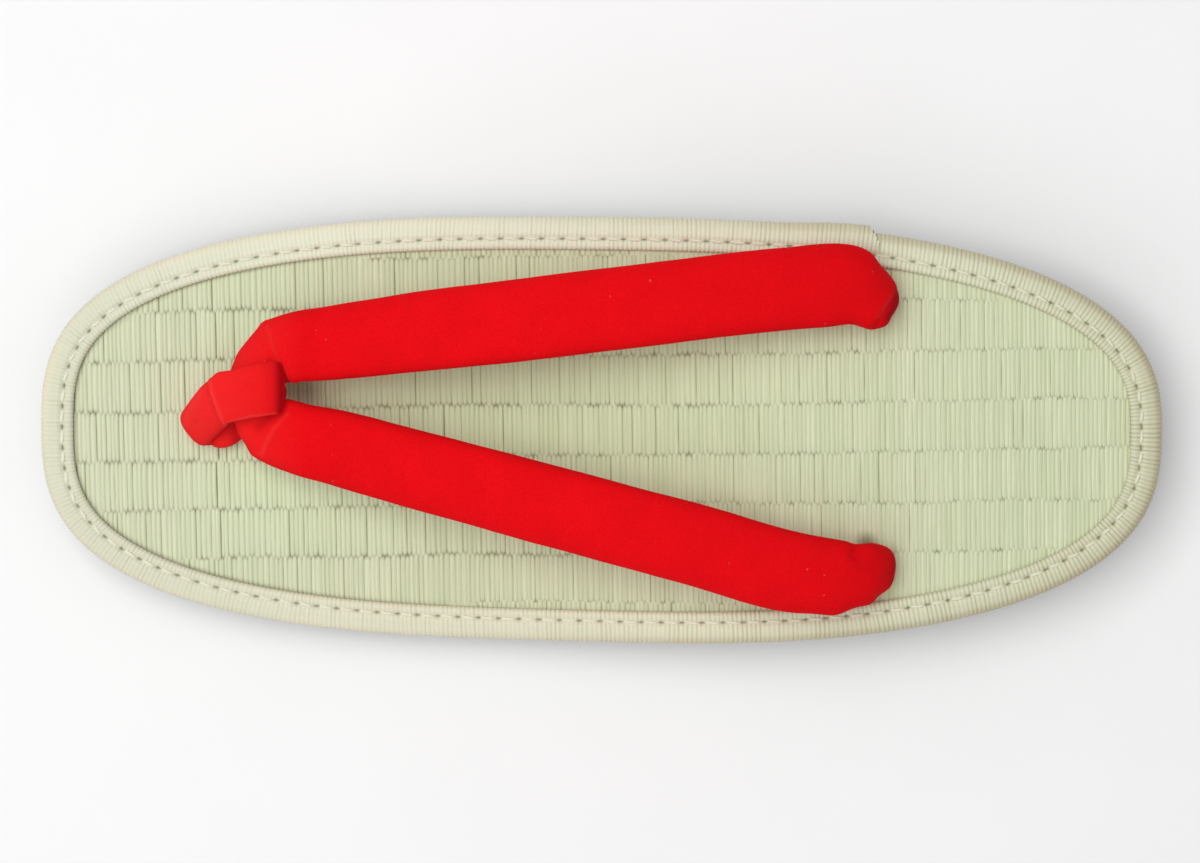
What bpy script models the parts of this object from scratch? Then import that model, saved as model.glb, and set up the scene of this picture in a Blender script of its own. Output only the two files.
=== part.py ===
"""A rush-topped zori sandal with padded velvet straps, standing empty on its sole.

Frame: +Y runs from heel to toe, +X to the wearer's right and +Z up, in metres. The origin is on the
floor below the middle of the sole. Each piece that a maker puts together is one named solid.
"""

import math
from collections import namedtuple

import bmesh
import bpy
from mathutils import Vector

MM = 0.001
CLEARANCE = 0.3 * MM

# Outline of the sole: two half superellipses that meet at the widest line
SOLE_LENGTH = 240 * MM
BALL_WIDTH = 91.8 * MM
WIDEST_FROM_TOE = 117 * MM
TOE_FULLNESS = 2.80
HEEL_FULLNESS = 2.63

# Heights, all at the middle of the sole
HEEL_HEIGHT = 25 * MM
BALL_HEIGHT = 15.5 * MM
TOE_SPRING = 4 * MM
HEEL_SEAT_LENGTH = 62 * MM
BALL_FROM_TOE = 82 * MM

# Layers
OUTSOLE_THICKNESS = 3.0 * MM
MAT_THICKNESS = 3.5 * MM
TAPE_WALL = 0.9 * MM
TAPE_TOP_LIP = 7.0 * MM
TAPE_UNDER_LIP = 6.0 * MM
STITCH_INSET = 4.8 * MM
STITCH_DIP = 0.25 * MM
TAPE_CROWN = 0.25 * MM
TAPE_LAP_FROM_HEEL = 63 * MM
TAPE_LAP_LENGTH = 24 * MM
TAPE_LAP_RAISE = 1.3 * MM

# Shares of the lap's raise at the lip and at the outer crown, and of the raise that also lifts the tape
LAP_AT_LIP = 0.3
LAP_AT_CROWN = 0.6
LAP_LIFT = 0.5

# Foam and rubber edges
FOAM_INSET = 0.9 * MM
FOAM_TAPER = 1.6 * MM
FOAM_CORNER = 1.2 * MM
RUBBER_CHAMFER = 0.9 * MM

# Tread: cross grooves in a heel field and a forefoot field
GROOVE_PITCH = 7.0 * MM
GROOVE_WIDTH = 2.4 * MM
GROOVE_DEPTH = 1.1 * MM
TREAD_MARGIN = 9.0 * MM
HEEL_TREAD_LENGTH = 78 * MM
FORE_TREAD_LENGTH = 92 * MM

# Strap and its two side holes
STRAP_WIDTH = 16.8 * MM
STRAP_THICKNESS = 8.6 * MM
STRAP_RISE = 23.0 * MM
SIDE_HOLE_FROM_HEEL = 62.5 * MM
SIDE_HOLE_SPAN = 58 * MM
SIDE_SOCKET_DEPTH = 10.0 * MM

# Toe loop and the toe hole
LOOP_WIDTH = 11.0 * MM
LOOP_THICKNESS = 3.8 * MM
TOE_HOLE_FROM_TOE = 39.0 * MM
TOE_SOCKET_DEPTH = 8.2 * MM
LIMB_GAP = 0.7 * MM

# How square the padded sections are, 2 being an ellipse, and how much wider than a section's own axes an
# oval socket is so that it clears its corners, alone and where two limbs lie side by side
PILLOW_FULLNESS = 2.3
SOCKET_EASE = 1.12
PAIR_EASE = 1.21

# Fineness of the faceted solids
RIM_STATIONS = 84
OUTLINE_SAMPLES = 1440
EDGE_STEPS = 7
STRAP_STEPS = 3
LOOP_STEPS = 2
STRAP_SIDES = 16
LOOP_SIDES = 12
SOCKET_SIDES = 24
HALVINGS = 40
MERGE_DISTANCE = 0.001 * MM
SHORTEST_STEP = 0.1 * MM
SHARP_ANGLE = 40

TOE_Y = SOLE_LENGTH / 2
HEEL_Y = -SOLE_LENGTH / 2
SIDE_HOLE_Y = HEEL_Y + SIDE_HOLE_FROM_HEEL
TOE_HOLE_Y = TOE_Y - TOE_HOLE_FROM_TOE
EDGE_RADIUS = MAT_THICKNESS / 2 + CLEARANCE + TAPE_WALL

# Strap rows, from the right side hole over the apex to the left one. along runs from the side holes, 0,
# to the toe hole, 1; across is a share of half the side holes' span; rise is a share of STRAP_RISE over
# the mat; width and thickness are shares of the strap's; heading and tilt, in degrees, point the
# section's long axis at the inside of the V.
StrapRow = namedtuple("StrapRow", "along across rise width thickness heading tilt")
RIGHT_ARM = (
    StrapRow(-0.003, 1.003, 0.09, 0.60, 0.87, 194, 0),
    StrapRow(-0.010, 1.010, 0.24, 0.74, 0.90, 194, 0),
    StrapRow(0.009, 1.053, 0.39, 0.91, 0.94, 192, 0),
    StrapRow(0.043, 1.100, 0.47, 1.03, 0.98, 188, 1),
    StrapRow(0.143, 1.072, 0.60, 1.02, 1.00, 186, 3),
    StrapRow(0.286, 0.997, 0.83, 1.02, 1.00, 186, 6),
    StrapRow(0.424, 0.910, 0.98, 1.02, 1.00, 186, 8),
    StrapRow(0.561, 0.824, 1.00, 1.01, 1.00, 186, 9),
    StrapRow(0.699, 0.741, 0.90, 0.99, 1.00, 187, 10),
    StrapRow(0.827, 0.652, 0.71, 0.92, 1.00, 188, 11),
    StrapRow(0.878, 0.621, 0.59, 0.88, 0.95, 191, 12),
    StrapRow(0.909, 0.572, 0.51, 0.82, 0.86, 206, 14),
    StrapRow(0.943, 0.448, 0.48, 0.62, 0.84, 238, 28),
)
APEX = StrapRow(0.952, 0.290, 0.46, 0.58, 0.82, 268, 38)
LEFT_ARM = (
    StrapRow(0.944, 0.138, 0.48, 0.60, 0.84, 300, 28),
    StrapRow(0.918, 0.030, 0.51, 0.84, 0.86, 318, 15),
    StrapRow(0.873, -0.052, 0.59, 0.92, 0.97, 340, 13),
    StrapRow(0.820, -0.102, 0.71, 0.96, 1.00, 344, 11),
    StrapRow(0.699, -0.240, 0.90, 0.99, 1.00, 345, 10),
    StrapRow(0.561, -0.400, 1.00, 1.01, 1.00, 345, 9),
    StrapRow(0.424, -0.569, 0.98, 1.02, 1.00, 345, 8),
    StrapRow(0.286, -0.744, 0.83, 1.02, 1.00, 345, 6),
    StrapRow(0.143, -0.945, 0.60, 1.02, 1.00, 345, 3),
    StrapRow(0.043, -1.024, 0.47, 0.96, 0.98, 346, 1),
    StrapRow(0.009, -1.018, 0.39, 0.86, 0.94, 348, 0),
    StrapRow(-0.010, -0.998, 0.24, 0.72, 0.90, 350, 0),
    StrapRow(-0.003, -1.000, 0.09, 0.60, 0.87, 350, 0),
)
SIDE_END_WIDTH = 0.58
SIDE_END_THICKNESS = 0.86
SIDE_END_TURN = 12

# Toe loop rows, from the front limb over the apex to the back limb. toward runs from the toe hole, 0, to
# the apex, 1; ahead is a share of the band's reach round the apex, towards the toe; rise is a share of
# the band's height over the mat; width and thickness are shares of the loop's; fullness is how square
# the section is.
LoopRow = namedtuple("LoopRow", "toward ahead rise width thickness heading tilt fullness")
LOOP_ROWS = (
    LoopRow(0.000, 0.339, 0.070, 0.691, 0.947, 10, 0, 2.3),
    LoopRow(0.000, 0.561, 0.211, 0.764, 1.316, 28, 0, 2.3),
    LoopRow(0.048, 0.770, 0.340, 0.791, 1.395, 37, 2, 2.4),
    LoopRow(0.297, 0.749, 0.539, 0.836, 1.289, 37, 5, 2.7),
    LoopRow(0.583, 0.705, 0.727, 0.864, 1.105, 27, 6, 3.0),
    LoopRow(0.725, 0.667, 0.821, 0.873, 0.974, 19, 5, 3.4),
    LoopRow(0.820, 0.539, 0.920, 0.900, 0.947, 13, 3, 3.6),
    LoopRow(0.927, 0.260, 1.003, 0.945, 0.921, 8, 1, 3.6),
    LoopRow(1.034, -0.137, 1.079, 0.982, 0.895, 5, 0, 3.6),
    LoopRow(1.106, -0.538, 1.114, 1.000, 0.789, 3, 0, 3.6),
    LoopRow(1.130, -0.810, 1.073, 0.982, 0.711, 2, 0, 3.4),
    LoopRow(1.082, -0.960, 0.979, 0.545, 0.553, 1, 0, 2.8),
    LoopRow(1.034, -1.022, 0.809, 0.255, 0.579, 0, 0, 2.4),
    LoopRow(1.023, -0.989, 0.528, 0.273, 0.789, 0, 0, 2.3),
    LoopRow(0.939, -0.850, 0.305, 0.418, 0.947, 0, 0, 2.3),
    LoopRow(0.737, -0.694, 0.188, 0.545, 0.947, 0, 0, 2.3),
    LoopRow(0.428, -0.466, 0.158, 0.618, 0.947, 2, 0, 2.3),
    LoopRow(0.071, -0.284, 0.176, 0.673, 1.158, 8, 0, 2.3),
    LoopRow(-0.083, -0.185, 0.176, 0.709, 1.211, 10, 0, 2.3),
    LoopRow(-0.012, -0.248, 0.070, 0.627, 0.895, 2, 0, 2.3),
)
LOOP_END_WIDTH = 0.62
LOOP_END_THICKNESS = 0.82


def smooth_step(share):
    """A share from 0 to 1 with level ends."""
    held = min(1.0, max(0.0, share))
    return held * held * (3 - 2 * held)


def under(y):
    """Height of the outsole's underside over the floor: flat from the heel to the ball, then toe spring."""
    past_ball = (y - (TOE_Y - BALL_FROM_TOE)) / BALL_FROM_TOE
    return TOE_SPRING * max(0.0, past_ball) ** 2


def mat_top(y):
    """Height of the mat's top: a level heel seat, a slope to the ball, and the toe spring on top of it."""
    slope_start = HEEL_Y + HEEL_SEAT_LENGTH
    slope_end = TOE_Y - BALL_FROM_TOE
    fall = smooth_step((y - slope_start) / (slope_end - slope_start))
    return under(y) + HEEL_HEIGHT + (BALL_HEIGHT - HEEL_HEIGHT) * fall


def from_mat(height):
    """A level that follows the mat's top."""
    return lambda y: mat_top(y) + height


def from_floor(height):
    """A level that follows the outsole's underside."""
    return lambda y: under(y) + height


def outline_samples():
    """Close-set points of the sole's outline, clockwise from the toe tip seen from above."""
    widest_y = TOE_Y - WIDEST_FROM_TOE
    points = []
    for step in range(OUTLINE_SAMPLES):
        angle = math.tau * step / OUTLINE_SAMPLES
        forward, side = math.cos(angle), math.sin(angle)
        fullness = TOE_FULLNESS if forward >= 0 else HEEL_FULLNESS
        reach = TOE_Y - widest_y if forward >= 0 else widest_y - HEEL_Y
        x = math.copysign(abs(side) ** (2 / fullness), side) * BALL_WIDTH / 2
        y = widest_y + math.copysign(abs(forward) ** (2 / fullness), forward) * reach
        points.append(Vector((x, y)))
    return points


class Rim:
    """The sole's outline by length: turn runs from 0 at the toe tip by the right side to 1."""

    def __init__(self):
        self.points = outline_samples()
        self.points.append(self.points[0].copy())
        self.lengths = [0.0]
        for before, after in zip(self.points, self.points[1:]):
            self.lengths.append(self.lengths[-1] + (after - before).length)
        self.perimeter = self.lengths[-1]

    def at(self, turn):
        """The outline's point at this turn."""
        wanted = (turn % 1.0) * self.perimeter
        low, high = 0, len(self.lengths) - 1
        while high - low > 1:
            middle = (low + high) // 2
            if self.lengths[middle] <= wanted:
                low = middle
            else:
                high = middle
        span = self.lengths[high] - self.lengths[low]
        share = (wanted - self.lengths[low]) / span if span > 0 else 0.0
        return self.points[low].lerp(self.points[high], share)

    def inset(self, turn, distance):
        """The point this distance inside the outline."""
        reach = 1.0 / RIM_STATIONS / 2
        tangent = (self.at(turn + reach) - self.at(turn - reach)).normalized()
        inward = Vector((tangent.y, -tangent.x))
        return self.at(turn) + inward * distance

    def turn_at(self, y):
        """The turn on the right side where the outline passes this y."""
        low, high = 0.0, 0.5
        for _ in range(HALVINGS):
            middle = (low + high) / 2
            if self.at(middle).y > y:
                low = middle
            else:
                high = middle
        return low


def new_material(name, colour, roughness, sheen=0.0):
    material = bpy.data.materials.new(name)
    material.use_nodes = True
    shader = material.node_tree.nodes["Principled BSDF"]
    shader.inputs["Base Color"].default_value = (*colour, 1.0)
    shader.inputs["Roughness"].default_value = roughness
    shader.inputs["Metallic"].default_value = 0.0
    shader.inputs["Sheen Weight"].default_value = sheen
    material.diffuse_color = (*colour, 1.0)
    return material


def new_object(name, mesh_builder, material=None):
    """Makes a named object from a bmesh and points its faces outward."""
    bmesh.ops.remove_doubles(mesh_builder, verts=mesh_builder.verts, dist=MERGE_DISTANCE)
    bmesh.ops.recalc_face_normals(mesh_builder, faces=mesh_builder.faces)
    mesh = bpy.data.meshes.new(name)
    mesh_builder.to_mesh(mesh)
    mesh_builder.free()
    made = bpy.data.objects.new(name, mesh)
    bpy.context.scene.collection.objects.link(made)
    if material:
        mesh.materials.append(material)
        mesh.shade_smooth()
        mesh.set_sharp_from_angle(angle=math.radians(SHARP_ANGLE))
    return made


def add_ring(builder, rim, turns, inset, level):
    """A ring of vertices this far inside the outline, each at the level for its own y."""
    ring = []
    for turn in turns:
        point = rim.inset(turn, inset)
        ring.append(builder.verts.new((point.x, point.y, level(point.y))))
    return ring


def bridge(builder, first, second):
    """Quads between two closed rings of equal count."""
    count = len(first)
    for index in range(count):
        after = (index + 1) % count
        builder.faces.new((first[index], first[after], second[after], second[index]))


def ladder_cap(builder, ring):
    """Closes a left-right symmetric ring with level strips from side to side."""
    count = len(ring)
    builder.faces.new((ring[0], ring[1], ring[-1]))
    for index in range(1, count // 2 - 1):
        builder.faces.new((ring[index], ring[index + 1], ring[count - index - 1], ring[count - index]))
    middle = count // 2
    builder.faces.new((ring[middle - 1], ring[middle], ring[middle + 1]))


def even_turns():
    return [index / RIM_STATIONS for index in range(RIM_STATIONS)]


def sole_layer(name, rim, rings, material):
    """A layer of the sole from its rings, (inset, level) from the top down, capped at both ends."""
    builder = bmesh.new()
    made = [add_ring(builder, rim, even_turns(), inset, level) for inset, level in rings]
    for upper, lower in zip(made, made[1:]):
        bridge(builder, upper, lower)
    ladder_cap(builder, made[0])
    ladder_cap(builder, made[-1])
    return new_object(name, builder, material)


def edge_arc(radius):
    """Half-round edge profile, (inset, height over the mat), top to bottom, about the mat's own edge."""
    middle = -MAT_THICKNESS / 2
    arc = []
    for step in range(EDGE_STEPS + 1):
        angle = math.pi / 2 - math.pi * step / EDGE_STEPS
        arc.append((EDGE_RADIUS - radius * math.cos(angle), middle + radius * math.sin(angle)))
    return arc


def rush_mat(rim, material):
    """The rush footbed with its half-round edge."""
    rings = [(inset, from_mat(height)) for inset, height in edge_arc(MAT_THICKNESS / 2)]
    return sole_layer("rush_mat", rim, rings, material)


def binding_profile():
    """Closed section of the folded tape, (inset, height over the mat, share of the lap's raise)."""
    top = CLEARANCE + TAPE_WALL
    bottom = -MAT_THICKNESS - CLEARANCE - TAPE_WALL
    crown_inset = (EDGE_RADIUS + STITCH_INSET) / 2
    lip_crown = (STITCH_INSET + TAPE_TOP_LIP) / 2
    outer = [
        (TAPE_TOP_LIP, CLEARANCE, 0.0),
        (TAPE_TOP_LIP, top, LAP_AT_LIP),
        (lip_crown, top + TAPE_CROWN, LAP_AT_LIP),
        (STITCH_INSET, top - STITCH_DIP, LAP_AT_LIP),
        (crown_inset, top + TAPE_CROWN, LAP_AT_CROWN),
    ]
    outer += [(inset, height, 1.0) for inset, height in edge_arc(EDGE_RADIUS)]
    outer += [(TAPE_UNDER_LIP, bottom, 0.0), (TAPE_UNDER_LIP, bottom + TAPE_WALL, 0.0)]
    inner = [(inset, height, 0.0) for inset, height in edge_arc(EDGE_RADIUS - TAPE_WALL)]
    return outer + inner[::-1]


def edge_binding(rim, material):
    """The ribbed tape folded over the mat's edge, with its lapped end standing proud by the heel."""
    lap_turn = rim.turn_at(HEEL_Y + TAPE_LAP_FROM_HEEL)
    step = CLEARANCE / rim.perimeter
    turns = sorted(even_turns() + [lap_turn - step, lap_turn + step])
    lap_share = TAPE_LAP_LENGTH / rim.perimeter
    profile = binding_profile()
    middle = -MAT_THICKNESS / 2
    builder = bmesh.new()
    sections = []
    for turn in turns:
        ramp = 1.0 - (lap_turn - turn) / lap_share
        raised = TAPE_LAP_RAISE * smooth_step(ramp) if turn < lap_turn else 0.0
        section = []
        for inset, height, share in profile:
            out = raised * share * max(0.0, (EDGE_RADIUS - inset) / EDGE_RADIUS)
            up = raised * share * (LAP_LIFT if height > middle else 0.0)
            point = rim.inset(turn, inset - out)
            ground = rim.inset(turn, inset)
            section.append(builder.verts.new((point.x, point.y, mat_top(ground.y) + height + up)))
        sections.append(section)
    for index, section in enumerate(sections):
        bridge(builder, section, sections[(index + 1) % len(sections)])
    return new_object("edge_binding", builder, material)


def midsole(rim, material):
    """The foam wedge, with a rebate round its top for the tape's under lip."""
    seat = from_mat(-MAT_THICKNESS - CLEARANCE)
    rebate = from_mat(-MAT_THICKNESS - TAPE_WALL - 2 * CLEARANCE)
    corner = from_mat(-MAT_THICKNESS - TAPE_WALL - 2 * CLEARANCE - FOAM_CORNER)
    bottom = from_floor(OUTSOLE_THICKNESS + CLEARANCE)
    lip_edge = TAPE_UNDER_LIP + CLEARANCE
    rings = [
        (lip_edge, seat),
        (lip_edge, rebate),
        (FOAM_INSET + FOAM_CORNER, rebate),
        (FOAM_INSET, corner),
        (FOAM_INSET + FOAM_TAPER, bottom),
    ]
    return sole_layer("midsole", rim, rings, material)


def outsole(rim, material):
    """The rubber sheet under the foam."""
    side = FOAM_INSET + FOAM_TAPER
    rings = [
        (side, from_floor(OUTSOLE_THICKNESS)),
        (side, from_floor(RUBBER_CHAMFER)),
        (side + RUBBER_CHAMFER, from_floor(0.0)),
    ]
    return sole_layer("outsole", rim, rings, material)


def half_width_at(rim, y):
    return rim.at(rim.turn_at(y)).x


def add_groove(builder, rim, y):
    """One cross groove's cutter, following the underside at its own place along the sole."""
    half = half_width_at(rim, y) - TREAD_MARGIN
    corners = []
    for edge in (y - GROOVE_WIDTH / 2, y + GROOVE_WIDTH / 2):
        low, high = under(edge) - GROOVE_DEPTH, under(edge) + GROOVE_DEPTH
        for x, z in ((-half, low), (half, low), (half, high), (-half, high)):
            corners.append(builder.verts.new((x, edge, z)))
    back, front = corners[:4], corners[4:]
    bridge(builder, back, front)
    builder.faces.new(back)
    builder.faces.new(front)


def tread_cutter(rim):
    """All the cross grooves of the heel and forefoot fields as one hidden cutter."""
    builder = bmesh.new()
    fields = (
        (HEEL_Y + TREAD_MARGIN, HEEL_TREAD_LENGTH),
        (TOE_Y - TREAD_MARGIN - FORE_TREAD_LENGTH, FORE_TREAD_LENGTH),
    )
    for start, length in fields:
        for index in range(1, int(length / GROOVE_PITCH)):
            add_groove(builder, rim, start + index * GROOVE_PITCH)
    return hidden(new_object("tread_cutter", builder))


def hidden(helper):
    helper.hide_render = True
    helper.display_type = "WIRE"
    return helper


def cut(target, cutter):
    """Subtracts a hidden cutter from the target."""
    boolean = target.modifiers.new("cut_" + cutter.name, "BOOLEAN")
    boolean.operation = "DIFFERENCE"
    boolean.solver = "EXACT"
    boolean.object = cutter


def section_offsets(width, thickness, fullness, sides):
    """Pillow-shaped section, (across, out) from its centre."""
    power = 2 / fullness
    offsets = []
    for step in range(sides):
        angle = math.tau * step / sides
        across, out = math.cos(angle), math.sin(angle)
        across = math.copysign(abs(across) ** power, across)
        out = math.copysign(abs(out) ** power, out)
        offsets.append((across * width / 2, out * thickness / 2))
    return offsets


Station = namedtuple("Station", "place width thickness long_axis fullness", defaults=(PILLOW_FULLNESS,))


def mixed(first, second, share):
    """A station between two others, or past them."""
    return Station(
        first.place.lerp(second.place, share),
        first.width + (second.width - first.width) * share,
        first.thickness + (second.thickness - first.thickness) * share,
        first.long_axis.lerp(second.long_axis, share),
        first.fullness + (second.fullness - first.fullness) * share,
    )


def smooth_stations(rows, steps):
    """Stations on a centripetal curve through the rows."""
    padded = [mixed(rows[0], rows[1], -1.0), *rows, mixed(rows[-1], rows[-2], -1.0)]
    stations = []
    for a, b, c, d in zip(padded, padded[1:], padded[2:], padded[3:]):
        knots = [0.0]
        for first, second in ((a, b), (b, c), (c, d)):
            knots.append(knots[-1] + max(SHORTEST_STEP, (second.place - first.place).length) ** 0.5)
        for step in range(steps):
            at = knots[1] + (knots[2] - knots[1]) * step / steps
            ab = mixed(a, b, (at - knots[0]) / (knots[1] - knots[0]))
            bc = mixed(b, c, (at - knots[1]) / (knots[2] - knots[1]))
            cd = mixed(c, d, (at - knots[2]) / (knots[3] - knots[2]))
            abc = mixed(ab, bc, (at - knots[0]) / (knots[2] - knots[0]))
            bcd = mixed(bc, cd, (at - knots[1]) / (knots[3] - knots[1]))
            stations.append(mixed(abc, bcd, (at - knots[1]) / (knots[2] - knots[1])))
    stations.append(rows[-1])
    return stations


def sweep(name, stations, sides, material):
    """A padded tube through the stations, each section square to the curve."""
    builder = bmesh.new()
    sections = []
    last = len(stations) - 1
    for index, station in enumerate(stations):
        tangent = stations[min(index + 1, last)].place - stations[max(index - 1, 0)].place
        tangent.normalize()
        across = station.long_axis - tangent * station.long_axis.dot(tangent)
        across.normalize()
        out = across.cross(tangent)
        section = []
        offsets = section_offsets(station.width, station.thickness, station.fullness, sides)
        for along_width, along_out in offsets:
            section.append(builder.verts.new(station.place + across * along_width + out * along_out))
        sections.append(section)
    for before, after in zip(sections, sections[1:]):
        bridge(builder, before, after)
    builder.faces.new(sections[0])
    builder.faces.new(sections[-1])
    return new_object(name, builder, material)


def direction(heading, tilt):
    """A unit vector from its heading in the floor plane, in degrees from +X, and its tilt above it."""
    turned, raised = math.radians(heading), math.radians(tilt)
    level = math.cos(raised)
    return Vector((math.cos(turned) * level, math.sin(turned) * level, math.sin(raised)))


def strap_station(row):
    y = SIDE_HOLE_Y + row.along * (TOE_HOLE_Y - SIDE_HOLE_Y)
    x = row.across * SIDE_HOLE_SPAN / 2
    z = mat_top(y) + row.rise * STRAP_RISE
    long_axis = direction(row.heading, row.tilt)
    return Station(Vector((x, y, z)), row.width * STRAP_WIDTH, row.thickness * STRAP_THICKNESS, long_axis)


def side_heading(side):
    """Heading of the strap's long axis in a side hole, mirrored on the left."""
    return 180 + SIDE_END_TURN if side > 0 else 360 - SIDE_END_TURN


def side_end(side, depth):
    """A station of the strap's gathered end in a side hole."""
    place = Vector((side * SIDE_HOLE_SPAN / 2, SIDE_HOLE_Y, mat_top(SIDE_HOLE_Y) - depth))
    width, thickness = SIDE_END_WIDTH * STRAP_WIDTH, SIDE_END_THICKNESS * STRAP_THICKNESS
    return Station(place, width, thickness, direction(side_heading(side), 0))


def strap(material):
    """Both arms and the apex where they join, from one side hole to the other."""
    deep = SIDE_SOCKET_DEPTH - CLEARANCE
    rows = [side_end(1, deep), side_end(1, deep / 2), side_end(1, -CLEARANCE)]
    rows += [strap_station(row) for row in (*RIGHT_ARM, APEX, *LEFT_ARM)]
    rows += [side_end(-1, -CLEARANCE), side_end(-1, deep / 2), side_end(-1, deep)]
    return sweep("strap", smooth_stations(rows, STRAP_STEPS), STRAP_SIDES, material)


def limb_end(side, depth):
    """A station of a limb of the toe loop in the toe hole, the front limb at side 1 and the back at -1."""
    thickness = LOOP_END_THICKNESS * LOOP_THICKNESS
    offset = side * (thickness + LIMB_GAP) / 2
    place = Vector((0.0, TOE_HOLE_Y + offset, mat_top(TOE_HOLE_Y) - depth))
    return Station(place, LOOP_END_WIDTH * LOOP_WIDTH, thickness, direction(0, 0))


def band_clearance():
    """From the strap's surface at the apex to the middle of the band round it."""
    return CLEARANCE + LOOP_THICKNESS / 2


def apex_extents():
    """Half the apex section's length along the floor and half its height."""
    tilt = math.radians(APEX.tilt)
    width, thickness = APEX.width * STRAP_WIDTH, APEX.thickness * STRAP_THICKNESS
    offsets = section_offsets(width, thickness, PILLOW_FULLNESS, OUTLINE_SAMPLES)
    level = max(across * math.cos(tilt) - out * math.sin(tilt) for across, out in offsets)
    upright = max(across * math.sin(tilt) + out * math.cos(tilt) for across, out in offsets)
    return level, upright


def loop_station(row):
    level, upright = apex_extents()
    apex = strap_station(APEX).place
    y = TOE_HOLE_Y + row.toward * (apex.y - TOE_HOLE_Y) + row.ahead * (level + band_clearance())
    x = row.toward * apex.x
    z = mat_top(y) + row.rise * (APEX.rise * STRAP_RISE + upright + band_clearance())
    width, thickness = row.width * LOOP_WIDTH, row.thickness * LOOP_THICKNESS
    return Station(Vector((x, y, z)), width, thickness, direction(row.heading, row.tilt), row.fullness)


def toe_loop(material):
    """The flat tube that goes round the strap's apex and down through the toe hole twice."""
    deep = TOE_SOCKET_DEPTH - CLEARANCE
    rows = [limb_end(1, deep), limb_end(1, deep / 2), limb_end(1, -CLEARANCE)]
    rows += [loop_station(row) for row in LOOP_ROWS]
    rows += [limb_end(-1, -CLEARANCE), limb_end(-1, deep / 2), limb_end(-1, deep)]
    return sweep("toe_loop", smooth_stations(rows, LOOP_STEPS), LOOP_SIDES, material)


def socket_cutter(name, centre, depth, width, thickness, heading):
    """An upright oval prism, from the socket's floor to above the mat."""
    builder = bmesh.new()
    across = direction(heading, 0)
    other = Vector((-across.y, across.x, 0.0))
    rings = []
    for z in (mat_top(centre.y) - depth, mat_top(centre.y) + depth):
        ring = []
        for step in range(SOCKET_SIDES):
            angle = math.tau * step / SOCKET_SIDES
            offset = across * (math.cos(angle) * width / 2) + other * (math.sin(angle) * thickness / 2)
            ring.append(builder.verts.new(Vector((centre.x, centre.y, z)) + offset))
        rings.append(ring)
    bridge(builder, *rings)
    builder.faces.new(rings[0])
    builder.faces.new(rings[1])
    return hidden(new_object(name, builder))


def socket_cutters():
    """The two side holes and the toe hole."""
    side_width = SOCKET_EASE * SIDE_END_WIDTH * STRAP_WIDTH + 2 * CLEARANCE
    side_thickness = SOCKET_EASE * SIDE_END_THICKNESS * STRAP_THICKNESS + 2 * CLEARANCE
    cutters = []
    for name, side in (("right_hole_cutter", 1), ("left_hole_cutter", -1)):
        centre = Vector((side * SIDE_HOLE_SPAN / 2, SIDE_HOLE_Y))
        heading = side_heading(side)
        cutters.append(socket_cutter(name, centre, SIDE_SOCKET_DEPTH, side_width, side_thickness, heading))
    toe_centre = Vector((0.0, TOE_HOLE_Y))
    toe_width = PAIR_EASE * LOOP_END_WIDTH * LOOP_WIDTH + 2 * CLEARANCE
    toe_length = PAIR_EASE * (2 * LOOP_END_THICKNESS * LOOP_THICKNESS + LIMB_GAP) + 2 * CLEARANCE
    cutters.append(socket_cutter("toe_hole_cutter", toe_centre, TOE_SOCKET_DEPTH, toe_width, toe_length, 0))
    return cutters


def clear_scene():
    for leftover in list(bpy.data.objects):
        bpy.data.objects.remove(leftover)


def main():
    clear_scene()
    rim = Rim()
    rush = new_material("rush", (0.60, 0.63, 0.40), 0.62)
    tape = new_material("ribbed_tape", (0.64, 0.64, 0.47), 0.60)
    foam = new_material("foam", (0.045, 0.042, 0.040), 0.85)
    rubber = new_material("rubber", (0.020, 0.020, 0.020), 0.70)
    velvet = new_material("red_velvet", (0.75, 0.010, 0.014), 0.85, sheen=0.4)

    sole = outsole(rim, rubber)
    wedge = midsole(rim, foam)
    mat = rush_mat(rim, rush)
    edge_binding(rim, tape)
    strap(velvet)
    toe_loop(velvet)

    cut(sole, tread_cutter(rim))
    for cutter in socket_cutters():
        cut(mat, cutter)
        cut(wedge, cutter)


main()
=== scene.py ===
"""The look of a rush-topped zori sandal with padded velvet straps.

The file is laid out as an add-on: property groups hold the sizes and colours, each group of pieces
has its own operator, and main calls them in order. All lengths are in metres, in the frame's own axes:
+Y from heel to toe, +X to the wearer's right, +Z up from the floor.
"""

import math
import random
from collections import namedtuple

import bpy
import numpy as np
from bpy.props import FloatProperty, FloatVectorProperty, IntProperty, PointerProperty
from mathutils import Matrix, Vector, noise
from mathutils.kdtree import KDTree


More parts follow.
